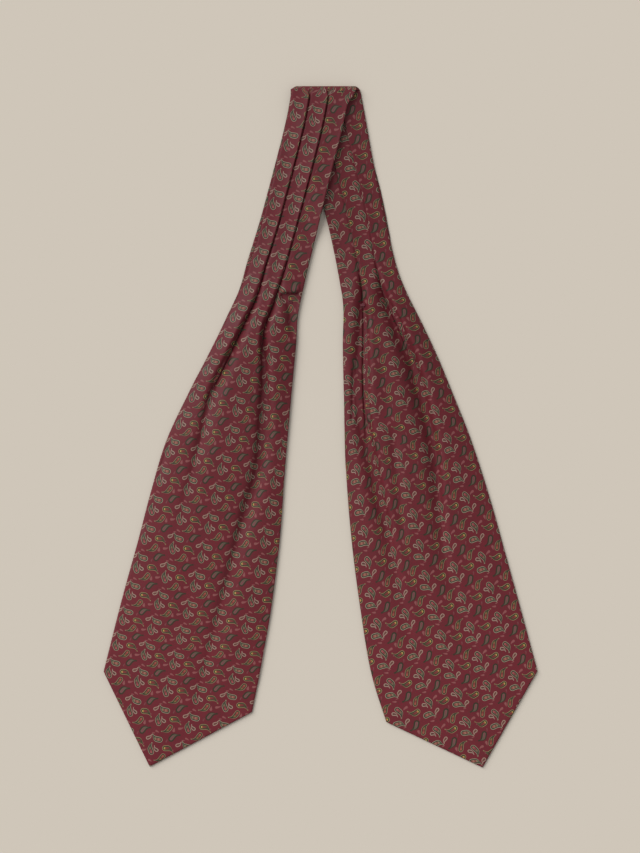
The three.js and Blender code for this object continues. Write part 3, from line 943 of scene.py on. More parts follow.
    def _down_the_cloth(
        self, points: np.ndarray, cloth: np.ndarray, reference: int, hidden: Sequence[bool]
    ) -> np.ndarray:
        """Places down the flat cloth, counted along each column from a reference row.

        Args:
            points: the panel's points.
            cloth: their places across the flat cloth.
            reference: the row where the count starts.
            hidden: whether each column lies inside a pleat.

        Returns:
            The place of each point down the cloth, in millimetres.
        """
        strides = np.diff(points, axis=0)
        strides[self.turned_rows :, :, 2] *= RELIEF_SHARE
        run = np.linalg.norm(strides, axis=-1)
        across = np.diff(cloth, axis=0)
        step = np.sqrt(np.maximum(run**2 - across**2, STEEPEST * run**2))
        down = np.concatenate([np.zeros((1, step.shape[1])), np.cumsum(step, axis=0)])
        down = down - down[reference]
        shown = np.flatnonzero(~np.array(hidden))
        for k in np.flatnonzero(hidden):
            a = shown[shown < k].max()
            b = shown[shown > k].min()
            share = (cloth[:, k] - cloth[:, a]) / np.maximum(cloth[:, b] - cloth[:, a], 1e-6)
            down[:, k] = blend(down[:, a], down[:, b], np.clip(share, 0, 1))
        return down

    def make(self, shift: Pair) -> bpy.types.Object:
        """Makes the panel's mesh, with its thickness.

        Args:
            shift: where the table's zero lies in the frame, in metres.

        Returns:
            The new object.
        """
        rows, columns, _ = self.grid.shape
        i, j = np.meshgrid(np.arange(rows - 1), np.arange(columns - 1), indexing="ij")
        corner = (i * columns + j).ravel()
        quads = np.stack([corner, corner + columns, corner + columns + 1, corner + 1], axis=-1)
        down, across = np.diff(self.grid, axis=0), np.diff(self.grid, axis=1)
        looks_up = np.cross(down[:, :-1], across[:-1])[..., 2].sum() > 0
        if looks_up != (self.facing is Facing.UP):
            quads = quads[:, ::-1]
        mesh = bpy.data.meshes.new(self.name)
        mesh.from_pydata(in_frame(self.grid.reshape(-1, 3), shift), [], quads.tolist())
        layer = mesh.uv_layers.new(name=PRINT_MAP)
        corners = np.zeros(len(mesh.loops), np.int64)
        mesh.loops.foreach_get("vertex_index", corners)
        uv = self.leg.lie.repeats(*np.moveaxis(self.flat, -1, 0)).reshape(-1, 2)[corners]
        layer.data.foreach_set("uv", uv.astype(np.float32).ravel())
        mesh.shade_smooth()
        piece = into_scene(self.name, mesh)
        wall = piece.modifiers.new("silk_wall", "SOLIDIFY")
        wall.thickness = self.pressing.wall * MM
        wall.offset = -1
        return piece

    def flat_area(self) -> float:
        """Area of the panel as cut, with its pointed end.

        Returns:
            The area, in square metres.
        """
        down = self.flat[..., 1]
        lengths = down[-1] - down[0]
        cuts = self.flat[-1, :, 0]
        order = np.argsort(cuts)
        return float(np.trapz(lengths[order], cuts[order])) * MM * MM

    def flat_length(self) -> float:
        """Length of the panel as cut, down to its point, in metres."""
        down = self.flat[..., 1]
        return float((down[-1] - down[0]).max()) * MM


class Wiring:
    """Adds nodes to one shader tree and links them."""

    def __init__(self, tree: bpy.types.NodeTree) -> None:
        """Starts on a tree."""
        self.tree = tree

    def put(self, kind: str, *values: object, **settings: object) -> bpy.types.Node:
        """Adds a node.

        Args:
            kind: the node's type.
            values: a link or a value for each of its first inputs, or None to leave one.
            settings: the node's own settings.

        Returns:
            The node.
        """
        node = self.tree.nodes.new(kind)
        for name, value in settings.items():
            setattr(node, name, value)
        inputs = [s for s in node.inputs if s.enabled]
        for socket, value in zip(inputs, values):
            self.feed(socket, value)
        return node

    def feed(self, socket: Socket, value: object) -> None:
        """Links a value to a socket, or sets it there.

        Args:
            socket: the input.
            value: an output socket, a number or a tuple, or None to leave it.
        """
        if isinstance(value, Socket):
            self.tree.links.new(value, socket)
        elif value is not None:
            socket.default_value = value

    def dress(self, node: bpy.types.Node, **values: object) -> bpy.types.Node:
        """Feeds a node's inputs by their names, with _ for each space.

        Args:
            node: the node.
            values: a link or a value for each input.

        Returns:
            The same node.
        """
        for name, value in values.items():
            self.feed(node.inputs[name.replace("_", " ")], value)
        return node

    def group(self, tree: bpy.types.NodeTree, **values: object) -> bpy.types.Node:
        """Places a node group and feeds its inputs by their names."""
        return self.dress(self.put("ShaderNodeGroup", node_tree=tree), **values)

    def math(self, operation: str, *values: object) -> Socket:
        """The result of a Math node."""
        return self.put("ShaderNodeMath", *values, operation=operation).outputs[0]

    def vector(self, operation: str, *values: object) -> Socket:
        """The result of a Vector Math node."""
        return self.put("ShaderNodeVectorMath", *values, operation=operation).outputs["Vector"]

    def ramp(self, value: object, low: object, high: object) -> Socket:
        """A value mapped to 0 at low and 1 at high, and held there."""
        return self.span(value, (low, high), (0.0, 1.0))

    def span(self, value: object, source: Sequence[object], target: Sequence[object]) -> Socket:
        """A value mapped from one span to another, and held at its ends."""
        node = self.put("ShaderNodeMapRange", value, *source, *target, clamp=True)
        return node.outputs[0]

    def mix(self, share: object, a: object, b: object) -> Socket:
        """A colour between two.

        Args:
            share: 0 for the first and 1 for the second.
            a: the first colour.
            b: the second colour.

        Returns:
            The mixed colour.
        """
        node = self.put("ShaderNodeMix", data_type="RGBA", clamp_factor=True)
        colours = [s for s in node.inputs if s.enabled]
        for socket, value in zip(colours, (share, a, b)):
            self.feed(socket, value)
        return next(s for s in node.outputs if s.enabled)


def linear(red: int, green: int, blue: int) -> tuple[float, float, float, float]:
    """A colour given in screen values, as a shader takes it.

    Args:
        red: red from 0 to 255.
        green: green from 0 to 255.
        blue: blue from 0 to 255.

    Returns:
        The linear colour with full alpha.
    """
    parts = []
    for value in (red, green, blue):
        share = value / 255
        low = share / 12.92
        parts.append(low if share <= 0.04045 else ((share + 0.055) / 1.055) ** 2.4)
    return (*parts, 1.0)


def new_material(name: str) -> tuple[bpy.types.Material, bpy.types.Node, Wiring]:
    """Starts a material.

    Args:
        name: its name.

    Returns:
        The material, its shader and its wiring.
    """
    material = bpy.data.materials.new(name)
    material.use_nodes = True
    tree = material.node_tree
    return material, tree.nodes["Principled BSDF"], Wiring(tree)


def new_group(
    name: str, inputs: Sequence[tuple[str, str, object]], outputs: Sequence[tuple[str, str]]
) -> tuple[bpy.types.NodeTree, bpy.types.Node, bpy.types.Node, Wiring]:
    """Starts a shader node group.

    Args:
        name: its name.
        inputs: name, kind and default of each input.
        outputs: name and kind of each output.

    Returns:
        The group, its input node, its output node and its wiring.
    """
    tree = bpy.data.node_groups.new(name, "ShaderNodeTree")
    for label, kind, default in inputs:
        socket = tree.interface.new_socket(label, in_out="INPUT", socket_type=kind)
        if default is not None:
            socket.default_value = default
    for label, kind in outputs:
        tree.interface.new_socket(label, in_out="OUTPUT", socket_type=kind)
    return tree, tree.nodes.new("NodeGroupInput"), tree.nodes.new("NodeGroupOutput"), Wiring(tree)


FLOAT, VECTOR, COLOUR = "NodeSocketFloat", "NodeSocketVector", "NodeSocketColor"
CURL = 5.0  # how late a drop's tail bends, as a power
HEAD_END = -0.4  # where a drop's head ends, as a share of its length behind the head's middle


def drop_shape_group() -> bpy.types.NodeTree:
    """A group that measures a bent drop with a round head, as paisleys and leaves have.

    Returns:
        The group. It puts out the distance from the drop's outline, negative inside, and the
        place along it, from 0 behind the head to 1 at the tip.
    """
    inputs = [
        ("Repeat", VECTOR, None), ("Head", VECTOR, None), ("Turn", FLOAT, 0.0),
        ("Length", FLOAT, 8.0), ("Head Radius", FLOAT, 3.0), ("Tip Radius", FLOAT, 0.3),
        ("Bend", FLOAT, 0.0), ("Taper", FLOAT, 1.3),
    ]
    outputs = [("Distance", FLOAT), ("Along", FLOAT)]
    tree, source, sink, wire = new_group("bent_drop", inputs, outputs)
    put = source.outputs
    away = wire.vector("SUBTRACT", put["Repeat"], put["Head"])
    near = wire.vector("WRAP", away, (0.5, 0.5, 0.5), (-0.5, -0.5, -0.5))
    local = wire.vector("MULTIPLY", near, (REPEAT_ACROSS, REPEAT_DOWN, 0.0))
    back = wire.math("MULTIPLY", put["Turn"], -1.0)
    turned = wire.put("ShaderNodeVectorRotate", rotation_type="Z_AXIS")
    wire.dress(turned, Vector=local, Angle=back)
    parts = wire.put("ShaderNodeSeparateXYZ", turned.outputs[0]).outputs
    share = wire.math("DIVIDE", parts["X"], put["Length"])
    held = wire.math("MINIMUM", wire.math("MAXIMUM", share, 0.0), 1.0)
    curl = wire.math("POWER", held, CURL)
    side = wire.math("SUBTRACT", parts["Y"], wire.math("MULTIPLY", curl, put["Bend"]))
    ahead = wire.math("SUBTRACT", parts["X"], wire.math("MULTIPLY", held, put["Length"]))
    joined = wire.put("ShaderNodeCombineXYZ", ahead, side, 0.0).outputs[0]
    length = wire.put("ShaderNodeVectorMath", joined, operation="LENGTH").outputs["Value"]
    thin = wire.math("POWER", held, put["Taper"])
    lost = wire.math("SUBTRACT", put["Head Radius"], put["Tip Radius"])
    radius = wire.math("SUBTRACT", put["Head Radius"], wire.math("MULTIPLY", thin, lost))
    wire.dress(
        sink, Distance=wire.math("SUBTRACT", length, radius), Along=wire.ramp(share, HEAD_END, 1.0)
    )
    return tree


def ink_group() -> bpy.types.NodeTree:
    """A group that lays four inks inside a measured shape: two outlines, a ring and a core.

    Returns:
        The group, which takes the cloth's colour and puts out the printed one.
    """
    inputs = [
        ("Ground", COLOUR, None), ("Distance", FLOAT, 0.0), ("Line", COLOUR, None),
        ("Ring", COLOUR, None), ("Inner", COLOUR, None), ("Core", COLOUR, None),
        ("Line Width", FLOAT, 0.5), ("Ring Width", FLOAT, 0.8), ("Inner Width", FLOAT, 0.0),
        ("Softness", FLOAT, 0.12),
    ]
    tree, source, sink, wire = new_group("four_inks", inputs, [("Colour", COLOUR)])
    put = source.outputs
    colour = put["Ground"]
    edge: object = 0.0
    sharp = wire.math("MULTIPLY", put["Softness"], -1.0)
    for ink in ("Line", "Ring", "Inner", "Core"):
        depth = wire.math("SUBTRACT", edge, put["Distance"])
        share = wire.ramp(depth, sharp, put["Softness"])
        colour = wire.mix(share, colour, put[ink])
        if ink != "Core":
            edge = wire.math("SUBTRACT", edge, put[f"{ink} Width"])
    wire.feed(sink.inputs["Colour"], colour)
    return tree


def twill_group() -> bpy.types.NodeTree:
    """A group for the silk's fine diagonal twill.

    Returns:
        The group. It puts out the height of the weave and a value that darkens its grooves.
    """
    inputs = [("Repeat", VECTOR, None), ("Ribs", FLOAT, 90.0)]
    tree, source, sink, wire = new_group(
        "silk_twill", inputs, [("Height", FLOAT), ("Groove", FLOAT)]
    )
    parts = wire.put("ShaderNodeSeparateXYZ", source.outputs["Repeat"]).outputs
    slant = wire.math("ADD", parts["X"], parts["Y"])
    turns = wire.math("MULTIPLY", slant, source.outputs["Ribs"])
    wave = wire.math("SINE", wire.math("MULTIPLY", turns, 2 * math.pi))
    cross = wire.math("SUBTRACT", parts["X"], parts["Y"])
    picks = wire.math("MULTIPLY", cross, source.outputs["Ribs"])
    pick = wire.math("SINE", wire.math("MULTIPLY", picks, 4 * math.pi))
    height = wire.math("MULTIPLY_ADD", pick, 0.25, wire.math("MULTIPLY_ADD", wave, 0.5, 0.5))
    wire.dress(sink, Height=height, Groove=wire.ramp(wave, -1.2, 1.0))
    return tree


def cloud_group() -> bpy.types.NodeTree:
    """A group for slow, cloudy variation over the cloth.

    Returns:
        The group, which puts out a value around 0.5.
    """
    inputs = [("Repeat", VECTOR, None), ("Scale", FLOAT, 1.0)]
    tree, source, sink, wire = new_group("silk_cloud", inputs, [("Value", FLOAT)])
    put = source.outputs
    noise = wire.put("ShaderNodeTexNoise")
    wire.dress(noise, Vector=put["Repeat"], Scale=put["Scale"], Detail=3.0)
    wire.feed(sink.inputs["Value"], noise.outputs[0])
    return tree


GREEN = (21, 31, 22)
BOTTLE = (34, 54, 38)
ROSE = (138, 80, 79)
DUSK = (118, 64, 66)


@dataclass(frozen=True)
class Motif:
    """One motif of the print: a bent drop, placed in its repeat in millimetres.

    head is the middle of its round end, turn the direction of its tail, in degrees from across
    towards down, and bend how far the tail ends aside. Inwards it has a line, a ring, an inner
    line and a core, and core lists the core's colours with their places from head to tip.
    """

    head: Pair
    turn: float
    length: float
    head_radius: float
    bend: float
    line: Ink
    core: tuple[tuple[float, Ink], ...]
    ring: Ink = GREEN
    line_width: float = 0.4
    ring_width: float = 0.8
    tip_radius: float = 0.6
    softness: float = 0.12
    taper: float = 1.3
    inner: Ink = (128, 116, 88)
    inner_width: float = 0.0


def sprig(
    head: Pair,
    turn: float,
    length: float,
    head_radius: float,
    bend: float,
    ink: Ink,
    core: Ink | None = None,
    tip_radius: float = 0.3,
) -> Motif:
    """A small plain motif.

    Args:
        head: the middle of its round end.
        turn: the direction of its tail.
        length: its length.
        head_radius: the radius of its round end.
        bend: how far its tail bends aside.
        ink: its colour.
        core: the colour of its core, where that is another one.
        tip_radius: the radius of its tip.

    Returns:
        The motif.
    """
    return Motif(
        head, turn, length, head_radius, bend, line=ink, ring=ink, core=((0.0, core or ink),),
        line_width=0.5, ring_width=0.85, tip_radius=tip_radius,
    )


def hook(
    head: Pair,
    turn: float,
    length: float,
    bend: float,
    line: Ink,
    fill: Ink,
) -> Motif:
    """A small pale loop with a tail, filled with one ink.

    Args:
        head: the middle of its round end.
        turn: the direction of its tail.
        length: its length.
        bend: how far its tail bends aside.
        line: the colour of its outline.
        fill: the colour inside.

    Returns:
        The motif.
    """
    return Motif(
        head, turn, length, head_radius=1.55, bend=bend, line=line, ring=fill,
        core=((0.0, fill),), line_width=0.6, ring_width=0.3, tip_radius=0.4, taper=2.0,
    )


MOTIFS = (
    Motif(
        head=(2.6, 0.0), turn=177, length=7.0, head_radius=2.5, bend=3.6,
        line=(160, 156, 130), inner=(136, 126, 100), inner_width=0.2, taper=4.2,
        core=((0.0, (172, 108, 86)), (0.2, (120, 40, 46)), (0.42, (158, 108, 90)),
              (0.56, (112, 40, 46)), (0.7, (140, 118, 92)), (0.85, BOTTLE)),
    ),
    hook((-8.4, 1.0), turn=-34, length=4.2, bend=-1.6, line=(164, 138, 122), fill=(104, 62, 56)),
    sprig((-5.3, -4.4), turn=-20, length=2.0, head_radius=0.42, bend=0.3, ink=ROSE),
    Motif(
        head=(9.0, 6.2), turn=-16, length=7.0, head_radius=2.5, bend=4.8,
        line=(154, 140, 98), inner=(130, 118, 78), inner_width=0.15, taper=4.0, ring_width=0.85,
        core=((0.0, (170, 142, 68)), (0.22, (184, 158, 84)), (0.34, (126, 56, 50)),
              (0.6, (112, 46, 48)), (0.85, BOTTLE)),
    ),
    sprig((8.6, 0.4), turn=-85, length=2.2, head_radius=0.55, bend=0.4, ink=DUSK),
    Motif(
        head=(9.0, 13.4), turn=112, length=7.8, head_radius=2.15, bend=4.0,
        line=(146, 134, 100), ring_width=0.75, tip_radius=0.55, taper=3.6,
        core=((0.0, (130, 54, 52)), (0.3, (150, 84, 66)), (0.5, (122, 50, 50)),
              (0.65, (126, 100, 62)), (0.85, BOTTLE)),
    ),
    sprig((-2.4, 20.0), turn=10, length=2.6, head_radius=0.8, bend=0.3, ink=ROSE),
    Motif(
        head=(12.2, -3.2), turn=-66, length=7.4, head_radius=2.45, bend=3.8,
        line=(46, 48, 33), ring=(92, 68, 62),
        core=((0.0, (122, 60, 70)), (0.5, (112, 70, 70)), (0.8, (84, 80, 64)), (0.95, BOTTLE)),
        line_width=1.2, ring_width=0.3, tip_radius=0.9, softness=0.42, taper=3.6,
    ),
    sprig((12.7, -11.0), turn=-92, length=2.8, head_radius=1.15, bend=0.0, ink=ROSE,
          tip_radius=0.15),
    Motif(
        head=(-1.9, 12.8), turn=235, length=7.6, head_radius=2.3, bend=3.4,
        line=(156, 146, 120), inner=(130, 116, 96), inner_width=0.15, taper=3.8,
        core=((0.0, (140, 56, 62)), (0.3, (154, 80, 78)), (0.5, (116, 42, 50)),
              (0.65, (120, 100, 78)), (0.85, BOTTLE)),
    ),
    hook((2.3, 9.8), turn=200, length=3.8, bend=2.2, line=(164, 142, 126), fill=(92, 54, 50)),
    sprig((-10.3, 12.9), turn=-20, length=3.4, head_radius=1.1, bend=-0.6, ink=ROSE, core=DUSK,
          tip_radius=0.4),
    sprig((-10.8, 6.2), turn=100, length=1.6, head_radius=0.5, bend=0.3, ink=DUSK),
)


@dataclass(frozen=True)
class PrintedSilk:
    """The finish of the cravat: burgundy silk twill with a small paisley print.

    painted_band_shade is painted shade that makes the neckband darker than the blades, and
    band_reach the places where that starts and stops fading, in repeats from the band. cloud_span
    and fleck_span are the parts of the cloudy values that count, and rib_shade maps the twill's
    grooves to shade.
    """

    ground: Ink = (122, 33, 46)
    ground_dark: Ink = (101, 28, 40)
    speckle: Ink = (78, 50, 42)
    speckle_share: float = 0.5
    # painted shade: the neckband's colour is darkened to this share of the blades'
    painted_band_shade: float = 0.81
    band_reach: Pair = (5.0, 15.0)
    cloud_scale: float = 1.6
    cloud_span: Pair = (0.3, 0.7)
    fleck_scale: float = 22.0
    fleck_span: Pair = (0.42, 0.66)
    rib_shade: Pair = (-4.0, 1.0)
    roughness: Pair = (0.5, 0.66)
    specular: float = 0.22
    sheen: float = 0.03
    sheen_roughness: float = 0.4
    sheen_tint: tuple[float, float, float, float] = (1.0, 0.75, 0.75, 1.0)
    weave_strength: float = 0.35
    weave_depth: float = 0.02 * MM

    def make(self) -> bpy.types.Material:
        """Makes the material.

        Returns:
            The material, which reads the panels' print_repeat map.
        """
        material, shader, wire = new_material("printed_silk")
        place = wire.put("ShaderNodeUVMap", uv_map=PRINT_MAP).outputs[0]
        clouds = cloud_group()
        twill = wire.group(twill_group(), Repeat=place)
        cloud = wire.group(clouds, Repeat=place, Scale=self.cloud_scale).outputs[0]
        fleck = wire.group(clouds, Repeat=place, Scale=self.fleck_scale).outputs[0]
        ground = wire.mix(cloud, linear(*self.ground_dark), linear(*self.ground))
        flecked = wire.math("MULTIPLY", wire.ramp(fleck, *self.fleck_span), self.speckle_share)
        ground = wire.mix(flecked, ground, linear(*self.speckle))
        # Painted shade: the colour is darkened near the neckband, fading out towards the blades
        from_band = wire.math("ABSOLUTE", wire.put("ShaderNodeSeparateXYZ", place).outputs["Y"])
        painted_band_darkening = wire.span(from_band, self.band_reach, (self.painted_band_shade, 1.0))
        ribs = wire.ramp(twill.outputs["Groove"], *self.rib_shade)
        shaded = wire.put("ShaderNodeVectorMath", self._print(wire, place, ground),
                          operation="SCALE")
        wire.dress(shaded, Scale=wire.math("MULTIPLY", ribs, painted_band_darkening))
        bump = wire.dress(wire.put("ShaderNodeBump"), Strength=self.weave_strength,
                          Distance=self.weave_depth, Height=twill.outputs["Height"])
        wire.dress(
            shader, Base_Color=shaded.outputs[0], Normal=bump.outputs[0],
            Roughness=wire.span(cloud, self.cloud_span, self.roughness),
            Specular_IOR_Level=self.specular, Sheen_Weight=self.sheen,
            Sheen_Roughness=self.sheen_roughness, Sheen_Tint=self.sheen_tint,
        )
        return material

    def _print(
        self, wire: Wiring, place: Socket, ground: Socket
    ) -> Socket:
        """Lays all motifs of the repeat on the ground colour.

        Args:
            wire: the material's wiring.
            place: the place in the print, in repeats.
            ground: the cloth's own colour.

        Returns:
            The printed colour.
        """
        shape_tree, ink_tree = drop_shape_group(), ink_group()
        colour = ground
        for motif in MOTIFS:
            across, down = motif.head
            head = (across / REPEAT_ACROSS, down / REPEAT_DOWN, 0.0)
            shape = wire.group(
                shape_tree, Repeat=place, Head=head, Turn=math.radians(motif.turn),
                Length=motif.length, Head_Radius=motif.head_radius, Bend=motif.bend,
                Tip_Radius=motif.tip_radius, Taper=motif.taper,
            )
            core: object = linear(*motif.core[0][1])
            if len(motif.core) > 1:
                core = self._core(wire, shape.outputs["Along"], motif)
            inks = wire.group(
                ink_tree, Ground=colour, Distance=shape.outputs["Distance"],
                Line=linear(*motif.line), Ring=linear(*motif.ring), Inner=linear(*motif.inner),
                Core=core, Line_Width=motif.line_width, Ring_Width=motif.ring_width,
                Inner_Width=motif.inner_width, Softness=motif.softness,
            )
            colour = inks.outputs[0]
        return colour

    @staticmethod
    def _core(
        wire: Wiring, along: Socket, motif: Motif
    ) -> Socket:
        """Colours of a motif's core from head to tip.

        Args:
            wire: the material's wiring.
            along: the place along the motif.
            motif: the motif.

        Returns:
            The core's colour.
        """
        node = wire.put("ShaderNodeValToRGB", along)
        stops = node.color_ramp.elements
        while len(stops) < len(motif.core):
            stops.new(1.0)
        for stop, (at, shade) in zip(stops, motif.core):
            stop.position = at
            stop.color = linear(*shade)
        return node.outputs[0]


@dataclass(frozen=True)
class SilkThread:
    """The finish of the sewing thread: burgundy silk with a soft shine, two plies and painted shade between
    them.
    """

    colour: Ink = (112, 34, 46)
    ply_shade_colour: Ink = (76, 22, 32)
    roughness: float = 0.5
    plies: float = 2600.0

    def make(self) -> bpy.types.Material:
        """Makes the material.

        Returns:
            The material, striped across by its plies.
        """
        material, shader, wire = new_material("silk_thread")
        place = wire.put("ShaderNodeTexCoord").outputs["Object"]
        parts = wire.put("ShaderNodeSeparateXYZ", place).outputs
        slant = wire.math("ADD", wire.math("ADD", parts["X"], parts["Y"]), parts["Z"])
        wave = wire.math("SINE", wire.math("MULTIPLY", slant, 2 * math.pi * self.plies))
        share = wire.ramp(wave, -1.0, 1.0)
        # Painted shade: the darker stripes stand for the shade in the grooves between the plies
        colour = wire.mix(share, linear(*self.ply_shade_colour), linear(*self.colour))
        wire.dress(shader, Base_Color=colour, Roughness=self.roughness)
        return material


@dataclass(frozen=True)
class PlainPaper:
    """The finish of the pale surface under the cravat."""

    colour: Ink = (207, 198, 185)
    roughness: float = 0.9

    def make(self) -> bpy.types.Material:
        """Makes the material.

        Returns:
            The material, with no shine at all.
        """
        material, shader, wire = new_material("pale_surface")
        wire.dress(shader, Base_Color=linear(*self.colour), Roughness=self.roughness,
                   Specular_IOR_Level=0.0)
        return material


@dataclass
class Studio:
    """The pale surface, the soft light and the camera straight above.

    pixel is the real size of one of the photograph's pixels, and its centre lies half a pixel
    off the frame's, at middle. The key light gives key_share of the light on the flat surface. It
    stands key_height degrees high and key_side degrees above the photograph's left, and looks
    key_width degrees wide.
    """

    photo_size: tuple[int, int] = (640, 853)
    pixel: float = 0.9 * MM
    middle: Pair = (-pixel / 2, pixel / 2)
    lens: float = 85.0
    sensor: float = 36.0
    farthest: float = 20.0
    cloth_height: float = 0.003
    key_share: float = 0.52
    key_height: float = 38.0
    key_side: float = 42.0
    key_width: float = 46.0
    surface_reach: float = 4.0
    surface_level: float = -0.03 * MM

    def build(self) -> None:
        """Makes the surface, the lights and the camera."""
        self._surface()
        self._lights()
        self._camera()

    def _surface(self) -> None:
        """Makes the pale surface that the cravat lies on."""
        mesh = bpy.data.meshes.new("surface")
        corners = [
            (x * self.surface_reach, y * self.surface_reach, self.surface_level)
            for x, y in ((-1, -1), (1, -1), (1, 1), (-1, 1))
        ]
        mesh.from_pydata(corners, [], [(0, 1, 2, 3)])
        mesh.materials.append(PlainPaper().make())
        into_scene("surface", mesh)

    def _lights(self) -> None:
        """Makes a broad low key light from the upper left, and even light all round."""
        key = bpy.data.lights.new("key", "SUN")
        key.energy = math.pi * self.key_share / math.sin(math.radians(self.key_height))
        key.angle = math.radians(self.key_width)
        tilt = math.radians(90 - self.key_height)
        into_scene("key", key).rotation_euler = (0, -tilt, -math.radians(self.key_side))
        world = bpy.data.worlds.new("soft_room")
        world.use_nodes = True
        back = world.node_tree.nodes["Background"]
        back.inputs["Color"].default_value = (1.0, 1.0, 1.0, 1.0)
        back.inputs["Strength"].default_value = 1 - self.key_share
        bpy.context.scene.world = world

    def _camera(self) -> None:
        """Makes the camera, which frames the cravat as the photograph does."""
        view_height = self.photo_size[1] * self.pixel
        distance = self.lens * view_height / self.sensor
        camera = bpy.data.cameras.new("camera")
        camera.lens = self.lens
        camera.sensor_width = self.sensor
        camera.sensor_height = self.sensor
        camera.sensor_fit = "AUTO"
        camera.clip_end = self.farthest
        eye = into_scene("camera", camera)
        eye.location = (*self.middle, distance + self.cloth_height)
        bpy.context.scene.camera = eye
        bpy.context.scene.view_settings.view_transform = "Standard"


@dataclass
class Stitches:
    """The hand stitches of one leg: slip stitches along its seam, and the tack on its pleats.

    tack_at is the tack's place on the table and tack_turn its direction, in degrees from across
    towards down. The slip stitches start first_at down the seam, and lie inside the cloth by
    half of inside.
    """

    ENDS = ((0.0, 0.4), (0.06, 1.0), (0.94, 1.0), (1.0, 0.4))  # places along, and widths there
    SIDES = 6

    name: str
    panel: ClothPanel
    tack_at: Pair
    tack_turn: float
    pace: float = 3.2
    length: float = 2.3
    thread: float = 0.13
    inside: float = 0.3
    first_at: float = 2.0
    tack_length: float = 4.4
    tack_rows: int = 9
    tack_pace: float = 0.3
    tack_reach: float = 1.2

    def _seam_line(self) -> np.ndarray:
        """The points of the seam, from the top of the sewn edge down round the pointed end."""
        grid = self.panel.grid
        return np.concatenate([grid[self.panel.turned_rows :, 0], grid[-1, 1:]])

    def _slip_stitches(self) -> list[tuple[np.ndarray, np.ndarray]]:
        """Places the slip stitches along the seam.

        Returns:
            The two ends of each stitch.
        """
        line = self._seam_line()
        runs = np.linalg.norm(np.diff(line, axis=0), axis=1)
        line = line[np.concatenate([[True], runs > 1e-6])]
        along = np.concatenate([[0.0], np.cumsum(np.linalg.norm(np.diff(line, axis=0), axis=1))])
        starts = np.arange(self.first_at, along[-1] - self.length, self.pace)
        sink = np.array([0.0, 0.0, self.inside / 2])
        first, last = (
            np.stack([np.interp(places, along, part) for part in line.T], axis=-1) - sink
            for places in (starts, starts + self.length)
        )
        return list(zip(first, last))

    def _tack(self) -> list[tuple[np.ndarray, np.ndarray]]:
        """Places the threads of the tack, which lie on the cloth's face.

        Returns:
            The two ends of each thread.
        """
        turn = math.radians(self.tack_turn)
        way = np.array([math.cos(turn), -math.sin(turn)])
        aside = np.array([way[1], -way[0]])
        middle = np.array([self.tack_at[0], -self.tack_at[1]])
        pairs = []
        for k in range(self.tack_rows):
            shift = (k - (self.tack_rows - 1) / 2) * self.tack_pace
            ends = [middle + aside * shift + way * side * self.tack_length / 2 for side in (-1, 1)]
            pairs.append(tuple(self._on_face(end) for end in ends))
        return pairs

    def _on_face(self, place: np.ndarray) -> np.ndarray:
        """The point of the printed face over a place, a thread's thickness up.

        Args:
            place: its x and y.

        Returns:
            The point.
        """
        grid = self.panel.grid.reshape(-1, 3)
        away = np.hypot(*(grid[:, :2] - place).T)
        near = grid[away < away.min() + self.tack_reach]
        return np.array([*place, near[:, 2].max() + self.thread / 2])

    def make(self, shift: Pair) -> bpy.types.Object:
        """Makes the stitches as one mesh.

        Args:
            shift: where the table's zero lies in the frame, in metres.

        Returns:
            The new object.
        """
        points, faces = [], []
        for first, last in self._slip_stitches() + self._tack():
            piece_points, piece_faces = self._thread_piece(first, last)
            faces += [tuple(len(points) + k for k in face) for face in piece_faces]
            points += piece_points
        mesh = bpy.data.meshes.new(self.name)
        mesh.from_pydata(in_frame(np.array(points), shift), [], faces)
        mesh.shade_smooth()
        return into_scene(self.name, mesh)

    def _thread_piece(
        self, first: np.ndarray, last: np.ndarray
    ) -> tuple[list[np.ndarray], list[tuple[int, ...]]]:
        """A short length of thread with round ends.

        Args:
            first: where it starts.
            last: where it ends.

        Returns:
            Its points, and its faces by point.
        """
        way = (last - first) / np.linalg.norm(last - first)
        side = np.cross(way, [0.0, 0.0, 1.0])
        side /= np.linalg.norm(side)
        up = np.cross(side, way)
        sides, rings = self.SIDES, len(self.ENDS)
        points = []
        for share, width in self.ENDS:
            for turn in (2 * math.pi * k / sides for k in range(sides)):
                out = (side * math.cos(turn) + up * math.sin(turn)) * width * self.thread
                points.append(first + (last - first) * share + out)
        faces = [tuple(reversed(range(sides))), tuple(range((rings - 1) * sides, rings * sides))]
        for start in range(0, (rings - 1) * sides, sides):
            for k in range(sides):
                a, b = start + k, start + (k + 1) % sides
                faces.append((a, b, b + sides, a + sides))
        return points, faces


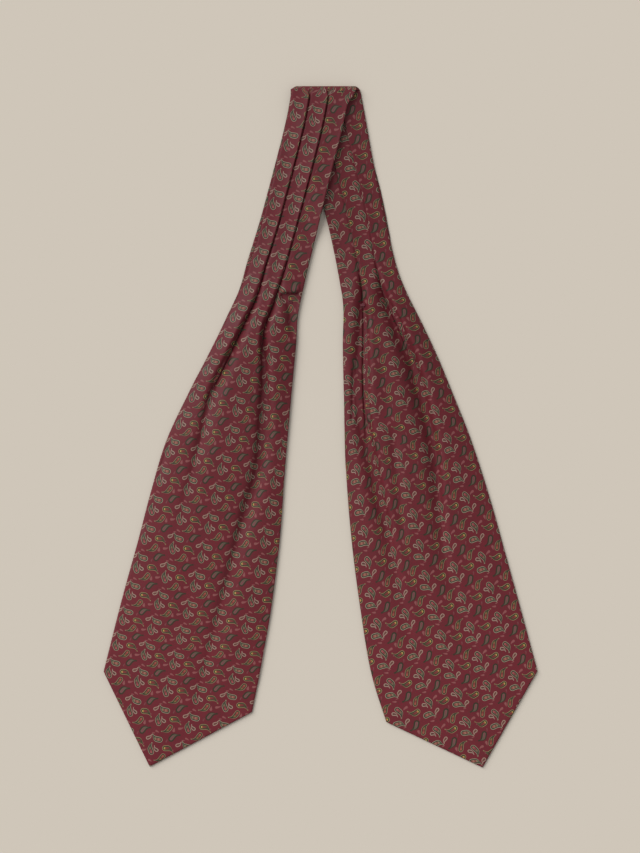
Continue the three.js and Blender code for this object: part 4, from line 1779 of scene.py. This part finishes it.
@dataclass
class Cravat:
    """The whole cravat: its four silk panels and its stitches."""

    # Place and direction of the tack on each panel that shows
    TACKS = {
        "right_back_silk": ((37.0, 197.0), -12.0),
        "left_front_silk": ((-27.5, 194.0), 8.0),
    }

    finish: PrintedSilk = field(default_factory=PrintedSilk)
    thread: SilkThread = field(default_factory=SilkThread)

    def panels(self) -> list[tuple[ClothPanel, list[str]]]:
        """The four panels, from the lowest to the highest.

        Returns:
            Each panel with what it rests on.
        """
        inset = PRESSINGS[Facing.DOWN].inset
        far = (RIGHT_ROWS[0].left_x, RIGHT_ROWS[0].right_x)
        far_inside = (far[0] + inset, far[1] - inset)
        up = {"facing": Facing.UP, "spacing": 2.5, "strip_columns": (16, 22, 20)}
        down = {"facing": Facing.DOWN, "spacing": 4.0, "strip_columns": (9, 13, 11)}
        return [
            (ClothPanel("right_front_silk", RIGHT_LEG, **down), []),
            (ClothPanel("right_back_silk", RIGHT_LEG, **up), ["right_front_silk"]),
            (ClothPanel("left_back_silk", LEFT_LEG, **down, far_ends=far_inside), ["right_back_silk"]),
            (ClothPanel("left_front_silk", LEFT_LEG, **up, far_ends=far), ["left_back_silk"]),
        ]

    def build(self) -> None:
        """Makes, dresses and attaches each panel and its stitches, and hides the solid each panel replaces.
        """
        silk, thread = self.finish.make(), self.thread.make()
        low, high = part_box("left_front_panel")
        shift = (low.x - LEFT_ROWS[-1].left_x * MM, high.y + FOLD_TOP_DROP * MM)
        for panel, rests_on in self.panels():
            panel.build_grid()
            piece = panel.make(shift)
            piece.data.materials.append(silk)
            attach(piece, "root")
            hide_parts(panel.name.replace("_silk", "_panel"))
            flat = (panel.leg.flat_width * MM, panel.flat_length())
            min(panel.flat_area(), flat[0] * flat[1])
            rows, columns, _ = panel.grid.shape
            LOG.info("%s: %d by %d points, flat %.3f by %.3f m", panel.name, rows, columns, *flat)
            if panel.name in self.TACKS:
                name = panel.name.replace("_silk", "_stitches")
                sewing = Stitches(name, panel, *self.TACKS[panel.name]).make(shift)
                sewing.data.materials.append(thread)
                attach(sewing, "root")
                LOG.info("%s: %d faces", name, len(sewing.data.polygons))


def main() -> None:
    """Builds the studio and the cravat."""
    logging.basicConfig(level=logging.INFO, format="%(name)s: %(message)s")
    Studio().build()
    Cravat().build()


if __name__ == "__main__":
    main()
